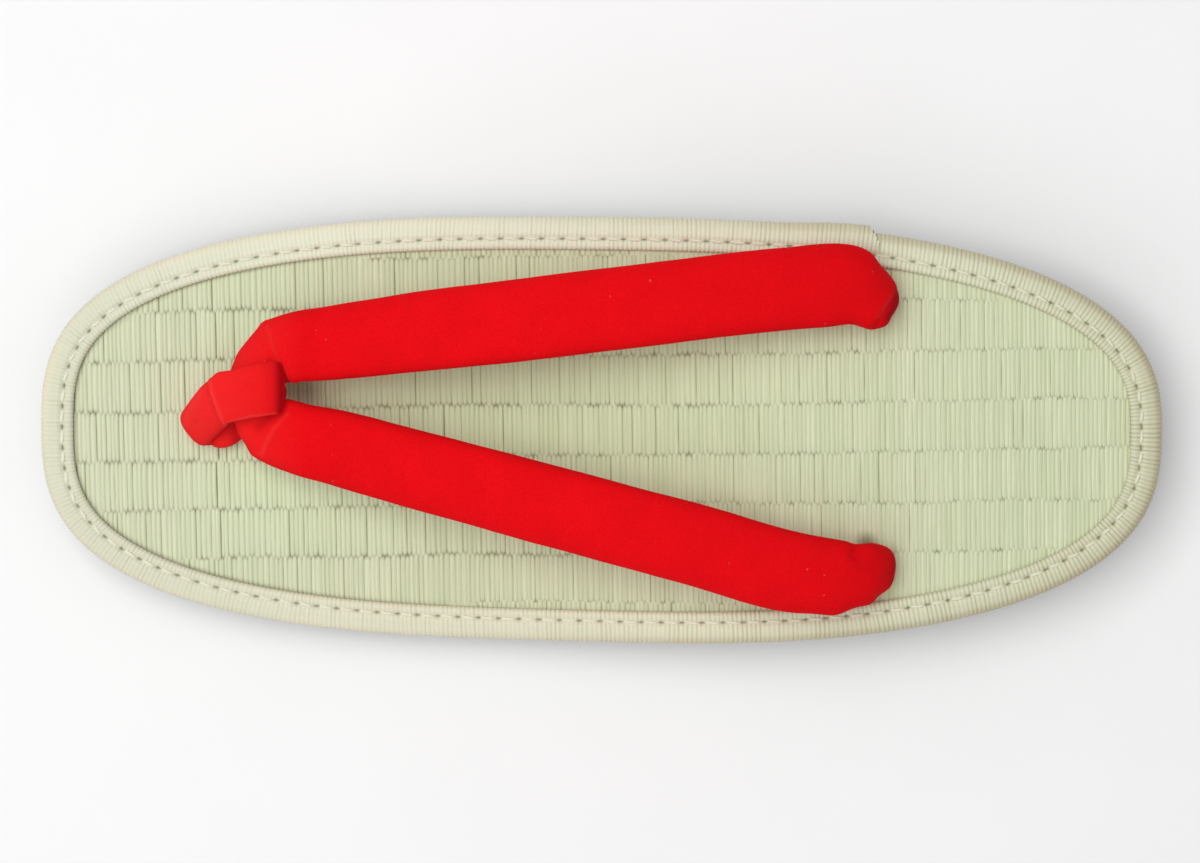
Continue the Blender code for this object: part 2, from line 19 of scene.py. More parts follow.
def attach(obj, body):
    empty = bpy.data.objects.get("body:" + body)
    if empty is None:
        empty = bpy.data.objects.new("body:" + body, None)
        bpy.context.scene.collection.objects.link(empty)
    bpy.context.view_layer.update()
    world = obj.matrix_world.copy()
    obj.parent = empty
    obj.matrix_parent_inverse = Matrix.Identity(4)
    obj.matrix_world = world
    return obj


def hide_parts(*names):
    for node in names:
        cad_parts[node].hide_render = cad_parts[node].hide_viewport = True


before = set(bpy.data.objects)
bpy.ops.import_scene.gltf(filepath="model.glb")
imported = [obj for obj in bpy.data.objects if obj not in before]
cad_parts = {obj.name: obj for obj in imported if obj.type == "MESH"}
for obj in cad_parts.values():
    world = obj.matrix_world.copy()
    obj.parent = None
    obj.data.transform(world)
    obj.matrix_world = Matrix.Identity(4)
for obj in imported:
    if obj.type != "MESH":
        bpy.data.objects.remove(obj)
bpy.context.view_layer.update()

bl_info = {
    "name": "Zori sandal",
    "version": (1, 0, 0),
    "blender": (4, 5, 0),
    "location": "3D View > Sidebar > Zori",
    "description": "Builds the visible pieces of a rush-topped zori round its packed frame",
    "category": "Add Mesh",
}

MM = 0.001
CLEARANCE = 0.3 * MM


def table(kind, rows):
    """Rows of one kind, each with its columns named."""
    return tuple(kind(*row) for row in rows)


# The sole's outline and heights, as in the frame
SOLE_LENGTH = 240 * MM
BALL_WIDTH = 91.8 * MM
WIDEST_FROM_TOE = 117 * MM
TOE_FULLNESS = 2.80
HEEL_FULLNESS = 2.63
HEEL_HEIGHT = 25 * MM
BALL_HEIGHT = 15.5 * MM
TOE_SPRING = 4 * MM
HEEL_SEAT_LENGTH = 62 * MM
BALL_FROM_TOE = 82 * MM
TOE_Y = SOLE_LENGTH / 2
HEEL_Y = -SOLE_LENGTH / 2

# The mat and its tape
MAT_THICKNESS = 3.5 * MM
TAPE_WALL = 0.9 * MM
TAPE_TOP_LIP = 7.0 * MM
STITCH_INSET = 4.8 * MM
TAPE_LAP_FROM_HEEL = 63 * MM
TAPE_LAP_LENGTH = 24 * MM
TAPE_LAP_RAISE = 1.3 * MM
EDGE_RADIUS = MAT_THICKNESS / 2 + CLEARANCE + TAPE_WALL

# The strap, the toe loop and their holes
STRAP_WIDTH = 16.8 * MM
STRAP_THICKNESS = 8.6 * MM
STRAP_RISE = 23.0 * MM
SIDE_HOLE_FROM_HEEL = 62.5 * MM
SIDE_HOLE_SPAN = 58 * MM
SIDE_SOCKET_DEPTH = 10.0 * MM
LOOP_WIDTH = 11.0 * MM
LOOP_THICKNESS = 3.8 * MM
TOE_HOLE_FROM_TOE = 39.0 * MM
TOE_SOCKET_DEPTH = 8.2 * MM
LIMB_GAP = 0.7 * MM
PILLOW_FULLNESS = 2.3
SIDE_HOLE_Y = HEEL_Y + SIDE_HOLE_FROM_HEEL
TOE_HOLE_Y = TOE_Y - TOE_HOLE_FROM_TOE

# Strap rows, from the right side hole over the apex to the left one. along runs from the side holes, 0,
# to the toe hole, 1; across is a share of half the side holes' span; rise is a share of STRAP_RISE over
# the mat; width and thickness are shares of the strap's; heading and tilt, in degrees, point the
# section's long axis at the inside of the V.
StrapRow = namedtuple("StrapRow", "along across rise width thickness heading tilt")
RIGHT_ARM = table(StrapRow, (
    (-0.003, 1.003, 0.09, 0.60, 0.87, 194, 0),
    (-0.010, 1.010, 0.24, 0.74, 0.90, 194, 0),
    (0.009, 1.053, 0.39, 0.91, 0.94, 192, 0),
    (0.043, 1.100, 0.47, 1.03, 0.98, 188, 1),
    (0.143, 1.072, 0.60, 1.02, 1.00, 186, 3),
    (0.286, 0.997, 0.83, 1.02, 1.00, 186, 6),
    (0.424, 0.910, 0.98, 1.02, 1.00, 186, 8),
    (0.561, 0.824, 1.00, 1.01, 1.00, 186, 9),
    (0.699, 0.741, 0.90, 0.99, 1.00, 187, 10),
    (0.827, 0.652, 0.71, 0.92, 1.00, 188, 11),
    (0.878, 0.621, 0.59, 0.88, 0.95, 191, 12),
    (0.909, 0.572, 0.51, 0.82, 0.86, 206, 14),
    (0.943, 0.448, 0.48, 0.62, 0.84, 238, 28),
))
APEX = StrapRow(0.952, 0.290, 0.46, 0.58, 0.82, 268, 38)
LEFT_ARM = table(StrapRow, (
    (0.944, 0.138, 0.48, 0.60, 0.84, 300, 28),
    (0.918, 0.030, 0.51, 0.84, 0.86, 318, 15),
    (0.873, -0.052, 0.59, 0.92, 0.97, 340, 13),
    (0.820, -0.102, 0.71, 0.96, 1.00, 344, 11),
    (0.699, -0.240, 0.90, 0.99, 1.00, 345, 10),
    (0.561, -0.400, 1.00, 1.01, 1.00, 345, 9),
    (0.424, -0.569, 0.98, 1.02, 1.00, 345, 8),
    (0.286, -0.744, 0.83, 1.02, 1.00, 345, 6),
    (0.143, -0.945, 0.60, 1.02, 1.00, 345, 3),
    (0.043, -1.024, 0.47, 0.96, 0.98, 346, 1),
    (0.009, -1.018, 0.39, 0.86, 0.94, 348, 0),
    (-0.010, -0.998, 0.24, 0.72, 0.90, 350, 0),
    (-0.003, -1.000, 0.09, 0.60, 0.87, 350, 0),
))
SIDE_END_WIDTH = 0.58
SIDE_END_THICKNESS = 0.86
SIDE_END_TURN = 12

# Toe loop rows in millimetres, from the front limb over the apex to the back limb: the middle of the
# section, its height over the mat, width and thickness, the heading and tilt of its long axis, and how
# full the section is (2 is an ellipse, more is boxier).
LoopRow = namedtuple("LoopRow", "x y rise width thickness heading tilt fullness")
LOOP_ROWS = table(LoopRow, (
    (0.0, 83.3, 1.2, 7.6, 3.6, 10, 0, 2.3),
    (0.2, 85.1, 3.6, 8.3, 4.4, 29, 0, 2.3),
    (0.4, 85.9, 5.8, 8.7, 5.3, 37, 2, 2.4),
    (2.5, 84.1, 9.2, 9.2, 4.9, 37, 5, 2.7),
    (4.9, 81.9, 12.4, 9.5, 4.2, 27, 6, 3.0),
    (6.1, 80.7, 14.0, 9.6, 3.7, 19, 5, 3.4),
    (6.9, 79.2, 15.7, 9.9, 3.6, 13, 3, 3.6),
    (7.8, 76.6, 17.1, 10.4, 3.5, 8, 1, 3.6),
    (8.7, 73.2, 18.4, 10.8, 3.4, 5, 0, 3.6),
    (9.3, 70.0, 19.0, 11.0, 3.0, 3, 0, 3.6),
    (9.5, 68.2, 18.0, 11.0, 3.0, 2, 0, 3.4),
    (9.4, 67.9, 15.6, 9.6, 3.0, 1, 0, 3.2),
    (9.0, 68.3, 12.0, 5.6, 3.0, 0, 0, 2.4),
    (8.6, 68.6, 8.0, 3.6, 3.0, 0, 0, 2.3),
    (7.9, 69.0, 5.2, 4.6, 3.6, 0, 0, 2.3),
    (6.2, 71.4, 3.2, 6.0, 3.6, 0, 0, 2.3),
    (3.6, 75.0, 2.7, 6.8, 3.6, 2, 0, 2.3),
    (1.2, 78.0, 2.9, 7.1, 4.2, -2, 0, 2.3),
    (-0.4, 80.4, 3.1, 7.5, 4.6, -12, 0, 2.3),
    (-0.7, 81.4, 2.3, 7.5, 4.4, -15, 0, 2.3),
    (-0.4, 80.8, 1.0, 6.6, 3.6, -8, 0, 2.3),
))
LOOP_END_WIDTH = 0.62
LOOP_END_THICKNESS = 0.82

# The three holes in the mat as ovals: centre, long and short radius, and turn in degrees
HoleOval = namedtuple("HoleOval", "x y long short turn")
HOLES = table(HoleOval, (
    (SIDE_HOLE_SPAN / 2, SIDE_HOLE_Y, 5.75 * MM, 4.4 * MM, 12),
    (-SIDE_HOLE_SPAN / 2, SIDE_HOLE_Y, 5.75 * MM, 4.4 * MM, -12),
    (0.0, TOE_HOLE_Y, 3.5 * MM, 3.5 * MM, 0),
))

# Brown painted shade on the rushes in millimetres: the left side hole's shadow beside it, and the shade where
# the arms meet
Stain = namedtuple("Stain", "x y reach depth")
STAINS = table(Stain, (
    (-23.2, -57.0, 2.5, 0.95),
    (8.2, 63.6, 5.0, 1.0),
    (7.4, 57.5, 4.5, 0.40),
))

# The photograph's own camera: straight down, off the shoe's middle, with the shoe's axis rolled a little
CAMERA_X = 44.6 * MM
CAMERA_Y = 4.8 * MM
CAMERA_HEIGHT = 641 * MM
CAMERA_AIM_HEIGHT = 21 * MM
CAMERA_ROLL = 0.48
FRAME_WIDTH = 257 * MM
SENSOR_WIDTH = 36.0


class ZoriRushSizes(bpy.types.PropertyGroup):
    row_pitch: FloatProperty(
        name="Row pitch", description="From one warp line of the mat to the next",
        default=10.74 * MM, unit="LENGTH")
    row_offset: FloatProperty(
        name="Row offset", description="How far right of the sole's middle a warp line lies",
        default=5.6 * MM, unit="LENGTH")
    turn: FloatProperty(
        name="Turn", description="How far the weave is turned on the sole",
        default=math.radians(1.4), subtype="ANGLE")
    strand_pitch: FloatProperty(
        name="Strand pitch", description="From one rush of a row to the next",
        default=1.05 * MM, unit="LENGTH")
    strand_height: FloatProperty(
        name="Strand height", description="How far a rush stands over the valleys",
        default=0.22 * MM, unit="LENGTH")
    overlap: FloatProperty(
        name="Overlap", description="How far a rush's tip runs past the warp line",
        default=0.75 * MM, unit="LENGTH")


class ZoriTapeSizes(bpy.types.PropertyGroup):
    rib_pitch: FloatProperty(
        name="Rib pitch", description="From one rib of the tape to the next",
        default=0.98 * MM, unit="LENGTH")
    rib_height: FloatProperty(
        name="Rib height", description="Half the depth of the ribs",
        default=0.085 * MM, unit="LENGTH")
    stitch_pitch: FloatProperty(
        name="Stitch pitch", description="From one stitch to the next",
        default=4.4 * MM, unit="LENGTH")
    stitch_length: FloatProperty(
        name="Stitch length", description="Visible length of a stitch",
        default=3.2 * MM, unit="LENGTH")
    thread_width: FloatProperty(
        name="Thread width", description="Diameter of the sewing thread",
        default=0.76 * MM, unit="LENGTH")


class ZoriStrapSizes(bpy.types.PropertyGroup):
    station_gap: FloatProperty(
        name="Station gap", description="Length of a face along the strap",
        default=0.5 * MM, unit="LENGTH")
    sides: IntProperty(
        name="Sides", description="Faces round the strap", default=72, min=12)
    softness: FloatProperty(
        name="Softness", description="How far the padding's soft lumps move the velvet",
        default=0.20 * MM, unit="LENGTH")


class ZoriColours(bpy.types.PropertyGroup):
    rush_pale: FloatVectorProperty(
        name="Pale rush", description="The paler rushes", subtype="COLOR", default=(0.68, 0.72, 0.49))
    rush_green: FloatVectorProperty(
        name="Green rush", description="The greener rushes", subtype="COLOR", default=(0.58, 0.64, 0.40))
    tape: FloatVectorProperty(
        name="Tape", description="The ribbed edge tape", subtype="COLOR", default=(0.76, 0.76, 0.575))
    thread: FloatVectorProperty(
        name="Thread", description="The sewing thread", subtype="COLOR", default=(0.82, 0.81, 0.66))
    velvet: FloatVectorProperty(
        name="Velvet", description="The strap's velvet", subtype="COLOR", default=(0.87, 0.003, 0.007))
    foam: FloatVectorProperty(
        name="Foam", description="The foam wedge", subtype="COLOR", default=(0.035, 0.032, 0.030))
    rubber: FloatVectorProperty(
        name="Rubber", description="The outsole", subtype="COLOR", default=(0.020, 0.020, 0.020))


def smooth_step(share):
    """Shares from 0 to 1 with level ends."""
    held = np.clip(share, 0.0, 1.0)
    return held * held * (3 - 2 * held)


def falloff(distance, reach):
    """A soft bell over distance: 1 at 0, and little past reach."""
    return np.exp(-(distance / reach) ** 2)


def normalised(vectors):
    return vectors / np.linalg.norm(vectors, axis=-1, keepdims=True)


def rising(span, share):
    """A value that starts at span's first number and gains its second as share goes from 0 to 1."""
    return span[0] + span[1] * share


def mat_top(y):
    """Height of the mat's top over the floor: level heel seat, slope to the ball, toe spring."""
    past_ball = np.maximum(0.0, (y - (TOE_Y - BALL_FROM_TOE)) / BALL_FROM_TOE)
    slope_start = HEEL_Y + HEEL_SEAT_LENGTH
    slope_end = TOE_Y - BALL_FROM_TOE
    fall = smooth_step((y - slope_start) / (slope_end - slope_start))
    return TOE_SPRING * past_ball ** 2 + HEEL_HEIGHT + (BALL_HEIGHT - HEEL_HEIGHT) * fall


class Rim:
    """The sole's outline by length: turn runs from 0 at the toe tip by the right side to 1."""

    SAMPLES = 5760
    SPACING = 0.5 * MM
    TANGENT_REACH = 3

    def __init__(self):
        angle = np.linspace(0, math.tau, self.SAMPLES + 1)
        forward, side = np.cos(angle), np.sin(angle)
        widest_y = TOE_Y - WIDEST_FROM_TOE
        fullness = np.where(forward >= 0, TOE_FULLNESS, HEEL_FULLNESS)
        reach = np.where(forward >= 0, TOE_Y - widest_y, widest_y - HEEL_Y)
        x = np.sign(side) * np.abs(side) ** (2 / fullness) * BALL_WIDTH / 2
        y = widest_y + np.sign(forward) * np.abs(forward) ** (2 / fullness) * reach
        lengths = np.concatenate([[0.0], np.cumsum(np.hypot(np.diff(x), np.diff(y)))])
        self.perimeter = float(lengths[-1])
        count = int(self.perimeter / self.SPACING)
        even = np.arange(count) / count * self.perimeter
        self.turns = np.arange(count + 1) / count
        x_even, y_even = np.interp(even, lengths, x), np.interp(even, lengths, y)
        ahead = np.stack([np.roll(line, -self.TANGENT_REACH) - np.roll(line, self.TANGENT_REACH)
                          for line in (x_even, y_even)])
        ahead /= np.hypot(*ahead)
        self.columns = [np.append(line, line[0]) for line in (x_even, y_even, ahead[1], -ahead[0])]

    def inset(self, turn, distance):
        """The points these distances inside the outline, as x and y."""
        held = np.mod(turn, 1.0)
        x, y, inward_x, inward_y = (np.interp(held, self.turns, line) for line in self.columns)
        return x + inward_x * distance, y + inward_y * distance

    def turn_at(self, y):
        """The turn on the right side where the outline passes this y."""
        half = len(self.turns) // 2
        return float(np.interp(-y, -self.columns[1][:half], self.turns[:half]))

    def half_width(self, y, distance):
        """Half the width at these y of the line this far inside the outline."""
        turns = np.linspace(0.0, 0.5, HALF_RIM_STEPS)
        x, line_y = self.inset(turns, distance)
        return np.interp(-y, -line_y, x, left=0.0, right=0.0)


HALF_RIM_STEPS = 600
RIM_STEPS = 1600
SEAM_STEPS = 2001
RIM = Rim()


def show(name, data):
    """A new object in the scene."""
    made = bpy.data.objects.new(name, data)
    bpy.context.scene.collection.objects.link(made)
    return made


def new_mesh(name, points, faces, material, tones=None, sharp_angle=None):
    """Makes an object from its points and faces, with an optional tone colour at each point."""
    mesh = bpy.data.meshes.new(name)
    mesh.from_pydata(np.asarray(points).tolist(), [], faces)
    mesh.shade_smooth()
    if tones is not None:
        layer = mesh.color_attributes.new("tone", "FLOAT_COLOR", "POINT")
        opaque = np.ones((len(tones), 4), dtype=np.float32)
        opaque[:, :3] = tones
        layer.data.foreach_set("color", opaque.ravel())
    if sharp_angle is not None:
        mesh.set_sharp_from_angle(angle=math.radians(sharp_angle))
    mesh.materials.append(material)
    mesh.validate()
    return show(name, mesh)


def grid_faces(rows, columns, wrap_rows=False, wrap_columns=False, start=0):
    """Quads of a grid of points numbered row by row."""
    row = np.arange(rows if wrap_rows else rows - 1)[:, None]
    column = np.arange(columns if wrap_columns else columns - 1)[None, :]
    next_row, next_column = (row + 1) % rows, (column + 1) % columns
    corners = [row * columns + column, next_row * columns + column,
               next_row * columns + next_column, row * columns + next_column]
    return (np.stack([np.broadcast_to(c, (row.size, column.size)) for c in corners], -1)
            .reshape(-1, 4) + start).tolist()


def tube_faces(stations, sides, start=0):
    """Quads round a tube of points, with a flat cap at each end."""
    last = start + (stations - 1) * sides
    return grid_faces(stations, sides, wrap_columns=True, start=start) + [
        list(range(start, start + sides))[::-1], list(range(last, last + sides))]


def stand_for(piece, node):
    """A piece rides on the sandal's one body and replaces its node."""
    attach(piece, "root")
    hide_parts(node)


class Recipe:
    """A material being built: each call adds a node, and links or sets its inputs."""

    def __init__(self, name):
        self.name = name
        self.material = bpy.data.materials.new(name)
        self.material.use_nodes = True
        self.tree = self.material.node_tree
        self.shader = self.tree.nodes["Principled BSDF"]

    def put(self, socket, value):
        if isinstance(value, bpy.types.NodeSocket):
            self.tree.links.new(value, socket)
        else:
            socket.default_value = value

    def add(self, kind, inputs=(), **settings):
        """A node with its settings and inputs, given by name or number."""
        made = self.tree.nodes.new(kind)
        for key, value in settings.items():
            setattr(made, key, value)
        for key, value in dict(inputs).items():
            self.put(made.inputs[key], value)
        return made

    def place(self, scale=(1, 1, 1), turn=0.0):
        """Object coordinates, stretched along the axes and turned about Z."""
        source = self.add("ShaderNodeTexCoord").outputs["Object"]
        inputs = {"Vector": source, "Scale": scale, "Rotation": (0.0, 0.0, turn)}
        return self.add("ShaderNodeMapping", inputs).outputs["Vector"]

    def position(self):
        """Where each point lies on the sandal, as X, Y and Z."""
        return self.add("ShaderNodeSeparateXYZ", {"Vector": self.place()}).outputs

    def cloud(self, scale, detail=3.0, roughness=0.5, turn=0.0):
        """Noise over the object, the finer the larger its scale, which may differ by axis."""
        stretch = scale if isinstance(scale, tuple) else (scale, scale, scale)
        inputs = {"Vector": self.place(stretch, turn), "Scale": 1.0, "Detail": detail, "Roughness": roughness}
        return self.add("ShaderNodeTexNoise", inputs).outputs["Fac"]

    def span(self, value, low, high, to_low=0.0, to_high=1.0):
        """A value from low to high brought to another range, and held inside it."""
        inputs = {"Value": value, "From Min": low, "From Max": high, "To Min": to_low, "To Max": to_high}
        return self.add("ShaderNodeMapRange", inputs).outputs["Result"]

    def maths(self, operation, first, second=0.0):
        return self.add("ShaderNodeMath", {0: first, 1: second}, operation=operation).outputs[0]

    def blend(self, share, first, second):
        """Two colours mixed by a share."""
        node = self.add("ShaderNodeMix", data_type="RGBA", blend_type="MIX")
        self.put(node.inputs[0], share)
        for socket, value in ((node.inputs[6], first), (node.inputs[7], second)):
            self.put(socket, (*value, 1.0) if isinstance(value, tuple) else value)
        return node.outputs[2]

    def tinted(self, base, colour=None, **values):
        """The base colour, or a colour made from it, with this material's tints laid over it in turn."""
        colour = tuple(base) if colour is None else colour
        for tint in TINTS[self.name]:
            over = tint.colour
            if isinstance(over, float):
                over = shaded(base, over)
            elif isinstance(over, str):
                over = values[over]
            share = self.span(values[tint.by], tint.low, tint.high, 0.0, tint.share)
            colour = self.blend(share, colour, over)
        return colour

    def tones(self):
        """The three channels of the tone colour at each point."""
        source = self.add("ShaderNodeAttribute", attribute_name="tone").outputs["Color"]
        split = self.add("ShaderNodeSeparateColor", {"Color": source})
        return split.outputs["Red"], split.outputs["Green"], split.outputs["Blue"]

    def bump(self, height, distance, strength=1.0, under=None):
        inputs = {"Height": height, "Distance": distance, "Strength": strength}
        if under is not None:
            inputs["Normal"] = under
        return self.add("ShaderNodeBump", inputs).outputs["Normal"]

    def finish(self, colour, roughness, normal=None, constants=()):
        """Feeds the shader and gives back the material."""
        inputs = {"Base Color": colour, "Roughness": roughness, **dict(constants)}
        if normal is not None:
            inputs["Normal"] = normal
        for name, value in inputs.items():
            self.put(self.shader.inputs[name], value)
        return self.material


def shaded(colour, share):
    """A colour made darker or lighter, as three numbers."""
    return tuple(channel * share for channel in colour)


# Tints of each material, laid over its colour in turn. by names what a tint follows: a cloud of noise, one
# of the tone channels or a place on the sandal. From low to high of that the tint rises to its share.
# colour is a colour, the name of one, or a number that makes the material's own colour darker or lighter.
Tint = namedtuple("Tint", "by low high share colour")
TINTS = {
    "woven_rush": table(Tint, (
        ("fibres", 0.35, 0.75, 0.42, 0.60),
        ("patches", 0.45, 0.75, 0.14, (0.74, 0.70, 0.47)),
        # A greener tint between the straps: partly the rushes' own colour, partly painted light set against
        # the red light the velvet throws on them
        ("shelter", 0.0, 1.0, 1.0, (0.60, 0.79, 0.46)),
        # Painted shade in the valleys between strands and near their ends
        ("valley", 0.0, 1.0, 1.0, (0.27, 0.33, 0.16)),
        # Brown painted shade on the sinking tips, in the lip's shadow and in the spots of painted shade
        ("tip", 0.2, 1.0, 0.78, (0.14, 0.12, 0.05)),
        ("along", 20 * MM, 110 * MM, 0.26, (0.72, 0.74, 0.57)),
    )),
    "ribbed_tape": table(Tint, (
        ("weave", 0.3, 0.7, 0.30, 0.72),
        ("patches", 0.4, 0.7, 0.35, (0.72, 0.70, 0.53)),
        # Painted light: the tape lighter on its +X side
        ("across", 10 * MM, 40 * MM, 0.45, (0.84, 0.87, 0.70)),
        # A greener tint towards the side holes, painted against the red light the velvet throws on the tape
        ("along", 5 * MM, -45 * MM, 0.16, (0.64, 0.74, 0.46)),
        ("along", -40 * MM, -100 * MM, 0.42, (0.56, 0.53, 0.36)),
        ("along", 60 * MM, 110 * MM, 0.52, (0.62, 0.63, 0.49)),
        # Painted shade in the furrows between the ribs
        ("furrow", 0.0, 1.0, 0.62, (0.36, 0.37, 0.22)),
        # Dirt on the outer edge, with painted light at the toe and painted shade at the heel
        ("wear", 0.0, 1.0, 0.65, "soiled"),
        # Painted shade in the needle holes
        ("hole", 0.15, 0.9, 0.72, (0.13, 0.12, 0.06)),
    )),
    "sewing_thread": table(Tint, (
        ("twist", 0.3, 0.7, 0.4, 0.75),
        ("along", 20 * MM, -80 * MM, 0.30, (0.58, 0.57, 0.40)),
    )),
    "red_velvet": table(Tint, (
        ("nap", 0.3, 0.7, 0.45, 0.78),
        ("pile", 0.35, 0.7, 0.50, 0.58),
        # Painted shade on the strap's heel ends, and painted light on the toe loop
        ("along", -30 * MM, -62 * MM, 0.34, 0.62),
        ("along", 62 * MM, 84 * MM, 0.36, (1.0, 0.050, 0.045)),
        # Painted shade on facets that turn away and in folds
        ("flattened", 0.0, 1.0, 0.8, (0.26, 0.001, 0.006)),
        # Painted highlights along ridges and edges
        ("rubbed", 0.0, 1.0, 0.40, (1.0, 0.11, 0.095)),
        ("specks", 0.80, 0.82, 0.22, (0.92, 0.20, 0.18)),
    )),
    "foam_wedge": table(Tint, (
        ("bloom", 0.4, 0.8, 0.5, 2.2),
    )),
    "outsole_rubber": table(Tint, (
        ("dust", 0.45, 0.75, 0.5, (0.075, 0.070, 0.062)),
    )),
}
SHELTER_X = 5 * MM
SHELTER_MOST = 0.62
VALLEY_MOST = 0.48
# The tape's outer edge: dirt with painted light at the toe, dirt with painted shade at the heel
SOILED_TOE = (0.90, 0.80, 0.60)
SOILED_HEEL = (0.48, 0.38, 0.22)
SHEEN_TINT = (1.0, 0.04, 0.05, 1.0)


def rush_finish(colours, turn):
    """Dried rush: each strand its own tone, painted shade in the valleys, brown painted shade on the sinking
    tips, under the tape's lip and in spots, a greener tint between the straps, and fine fibres along the
    strand.
    """
    recipe = Recipe("woven_rush")
    strand, edge, tip = recipe.tones()
    fibres = recipe.cloud((90, 5200, 90), 4.0, 0.6, turn)
    patches = recipe.cloud((70, 260, 70), 2.0)
    place = recipe.position()
    along = place["Y"]
    # A greener tint between the straps, partly painted light against the velvet's red light
    aside = recipe.maths("ABSOLUTE", recipe.maths("SUBTRACT", place["X"], SHELTER_X))
    shelter = recipe.maths("MULTIPLY", recipe.span(aside, 36 * MM, 16 * MM),
                           recipe.span(along, -66 * MM, 30 * MM))
    shelter = recipe.maths("MULTIPLY", shelter, recipe.span(along, 92 * MM, 72 * MM, 0.0, SHELTER_MOST))
    toeward = recipe.span(along, -70 * MM, 70 * MM, 0.60, 1.30)
    valley = recipe.maths("MULTIPLY", recipe.span(edge, 0.25, 1.0, 0.0, VALLEY_MOST), toeward)
    colour = recipe.blend(strand, tuple(colours.rush_green), tuple(colours.rush_pale))
    colour = recipe.tinted(colours.rush_green, colour, fibres=fibres, patches=patches, shelter=shelter,
                           valley=valley, tip=tip, along=along)
    roughness = recipe.span(fibres, 0.3, 0.8, 0.42, 0.62)
    return recipe.finish(colour, roughness, recipe.bump(fibres, 0.05 * MM, 0.6))


def backing_finish():
    """The mat's backing, seen only between the tips of the rushes."""
    recipe = Recipe("mat_backing")
    cloud = recipe.cloud(900)
    colour = recipe.blend(cloud, (0.20, 0.21, 0.10), (0.30, 0.31, 0.16))
    return recipe.finish(colour, 0.85, recipe.bump(cloud, 0.1 * MM, 0.5))


def tape_finish(colours):
    """Ribbed tape: painted shade between the ribs, dirt with painted light and shade at the outer edge,
    painted shade in the needle holes, and painted light on its +X side.
    """
    recipe = Recipe("ribbed_tape")
    furrow, wear, hole = recipe.tones()
    weave, place = recipe.cloud(2600, 3.0, 0.6), recipe.position()
    soiled = recipe.blend(recipe.span(place["Y"], 40 * MM, -60 * MM), SOILED_TOE, SOILED_HEEL)
    colour = recipe.tinted(colours.tape, weave=weave, patches=recipe.cloud(60, 2.0), across=place["X"],
                           along=place["Y"], furrow=furrow, wear=wear, hole=hole, soiled=soiled)
    return recipe.finish(colour, 0.62, recipe.bump(weave, 0.06 * MM, 0.6))


def thread_finish(colours):
    """Twisted cream sewing thread."""
    recipe = Recipe("sewing_thread")
    twist = recipe.cloud(3000)
    colour = recipe.tinted(colours.thread, twist=twist, along=recipe.position()["Y"])
    return recipe.finish(colour, 0.55, recipe.bump(twist, 0.04 * MM, 0.5))


def velvet_finish(colours):
    """Short-napped velvet: soft mottling where the nap lies over, a fine pile and a red sheen, with painted
    highlights along ridges and edges, painted shade on facets and folds, painted shade at the heel ends and
    painted light on the toe loop.
    """
    recipe = Recipe("red_velvet")
    nap, pile = recipe.cloud(120, 4.0, 0.6), recipe.cloud(2600, 3.0, 0.7)
    rubbed, flattened, _ = recipe.tones()
    colour = recipe.tinted(colours.velvet, nap=nap, pile=pile, along=recipe.position()["Y"],
                           rubbed=rubbed, flattened=flattened, specks=recipe.cloud(760, 1.0, 0.3))
    normal = recipe.bump(pile, 0.12 * MM, 0.6, recipe.bump(nap, 0.5 * MM, 0.4))
    return recipe.finish(colour, 0.92, normal, {
        "Sheen Weight": 0.12, "Sheen Roughness": 0.40, "Sheen Tint": SHEEN_TINT, "Specular IOR Level": 0.06})


def foam_finish(colours):
    """Skived closed-cell foam with fine pits and a dusty bloom."""
    recipe = Recipe("foam_wedge")
    pits = {"Vector": recipe.place((1500, 1500, 1500)), "Scale": 1.0}
    cells = recipe.add("ShaderNodeTexVoronoi", pits).outputs["Distance"]
    bloom = recipe.cloud((80, 80, 160), 4.0)
    colour = recipe.tinted(colours.foam, bloom=bloom)
    return recipe.finish(colour, recipe.span(bloom, 0.3, 0.7, 0.72, 0.88), recipe.bump(cells, 0.12 * MM, 0.5))


def rubber_finish(colours):
    """Moulded rubber, matt, with a little dust in its grain."""
    recipe = Recipe("outsole_rubber")
    grain = recipe.cloud(1800, 4.0, 0.6)
    colour = recipe.tinted(colours.rubber, dust=recipe.cloud(70, 4.0))
    return recipe.finish(colour, recipe.span(grain, 0.3, 0.7, 0.55, 0.75), recipe.bump(grain, 0.08 * MM, 0.5))


# How far along a strand a hole is searched for, and how near the strand has to pass it
HOLE_SEARCH = 14 * MM
HOLE_SEARCH_STEPS = 561
HOLE_NEAR = 9 * MM


def on_sole(u, v, turn):
    """Where a place u along the weave and v across it lies on the sole, as x and y."""
    return v - math.sin(turn) * u, u + math.sin(turn) * v


def in_hole(u, hole, turn):
    """The stretch of the strand at u that crosses a hole, as its low and high end, or None."""
    steps = np.linspace(hole.x - HOLE_SEARCH, hole.x + HOLE_SEARCH, HOLE_SEARCH_STEPS)
    x, y = on_sole(u, steps, turn)
    tilt = math.radians(hole.turn)
    along = (x - hole.x) * math.cos(tilt) + (y - hole.y) * math.sin(tilt)
    across = -(x - hole.x) * math.sin(tilt) + (y - hole.y) * math.cos(tilt)
    inside = steps[(along / hole.long) ** 2 + (across / hole.short) ** 2 < 1.0]
    return (inside[0], inside[-1]) if len(inside) > 2 else None


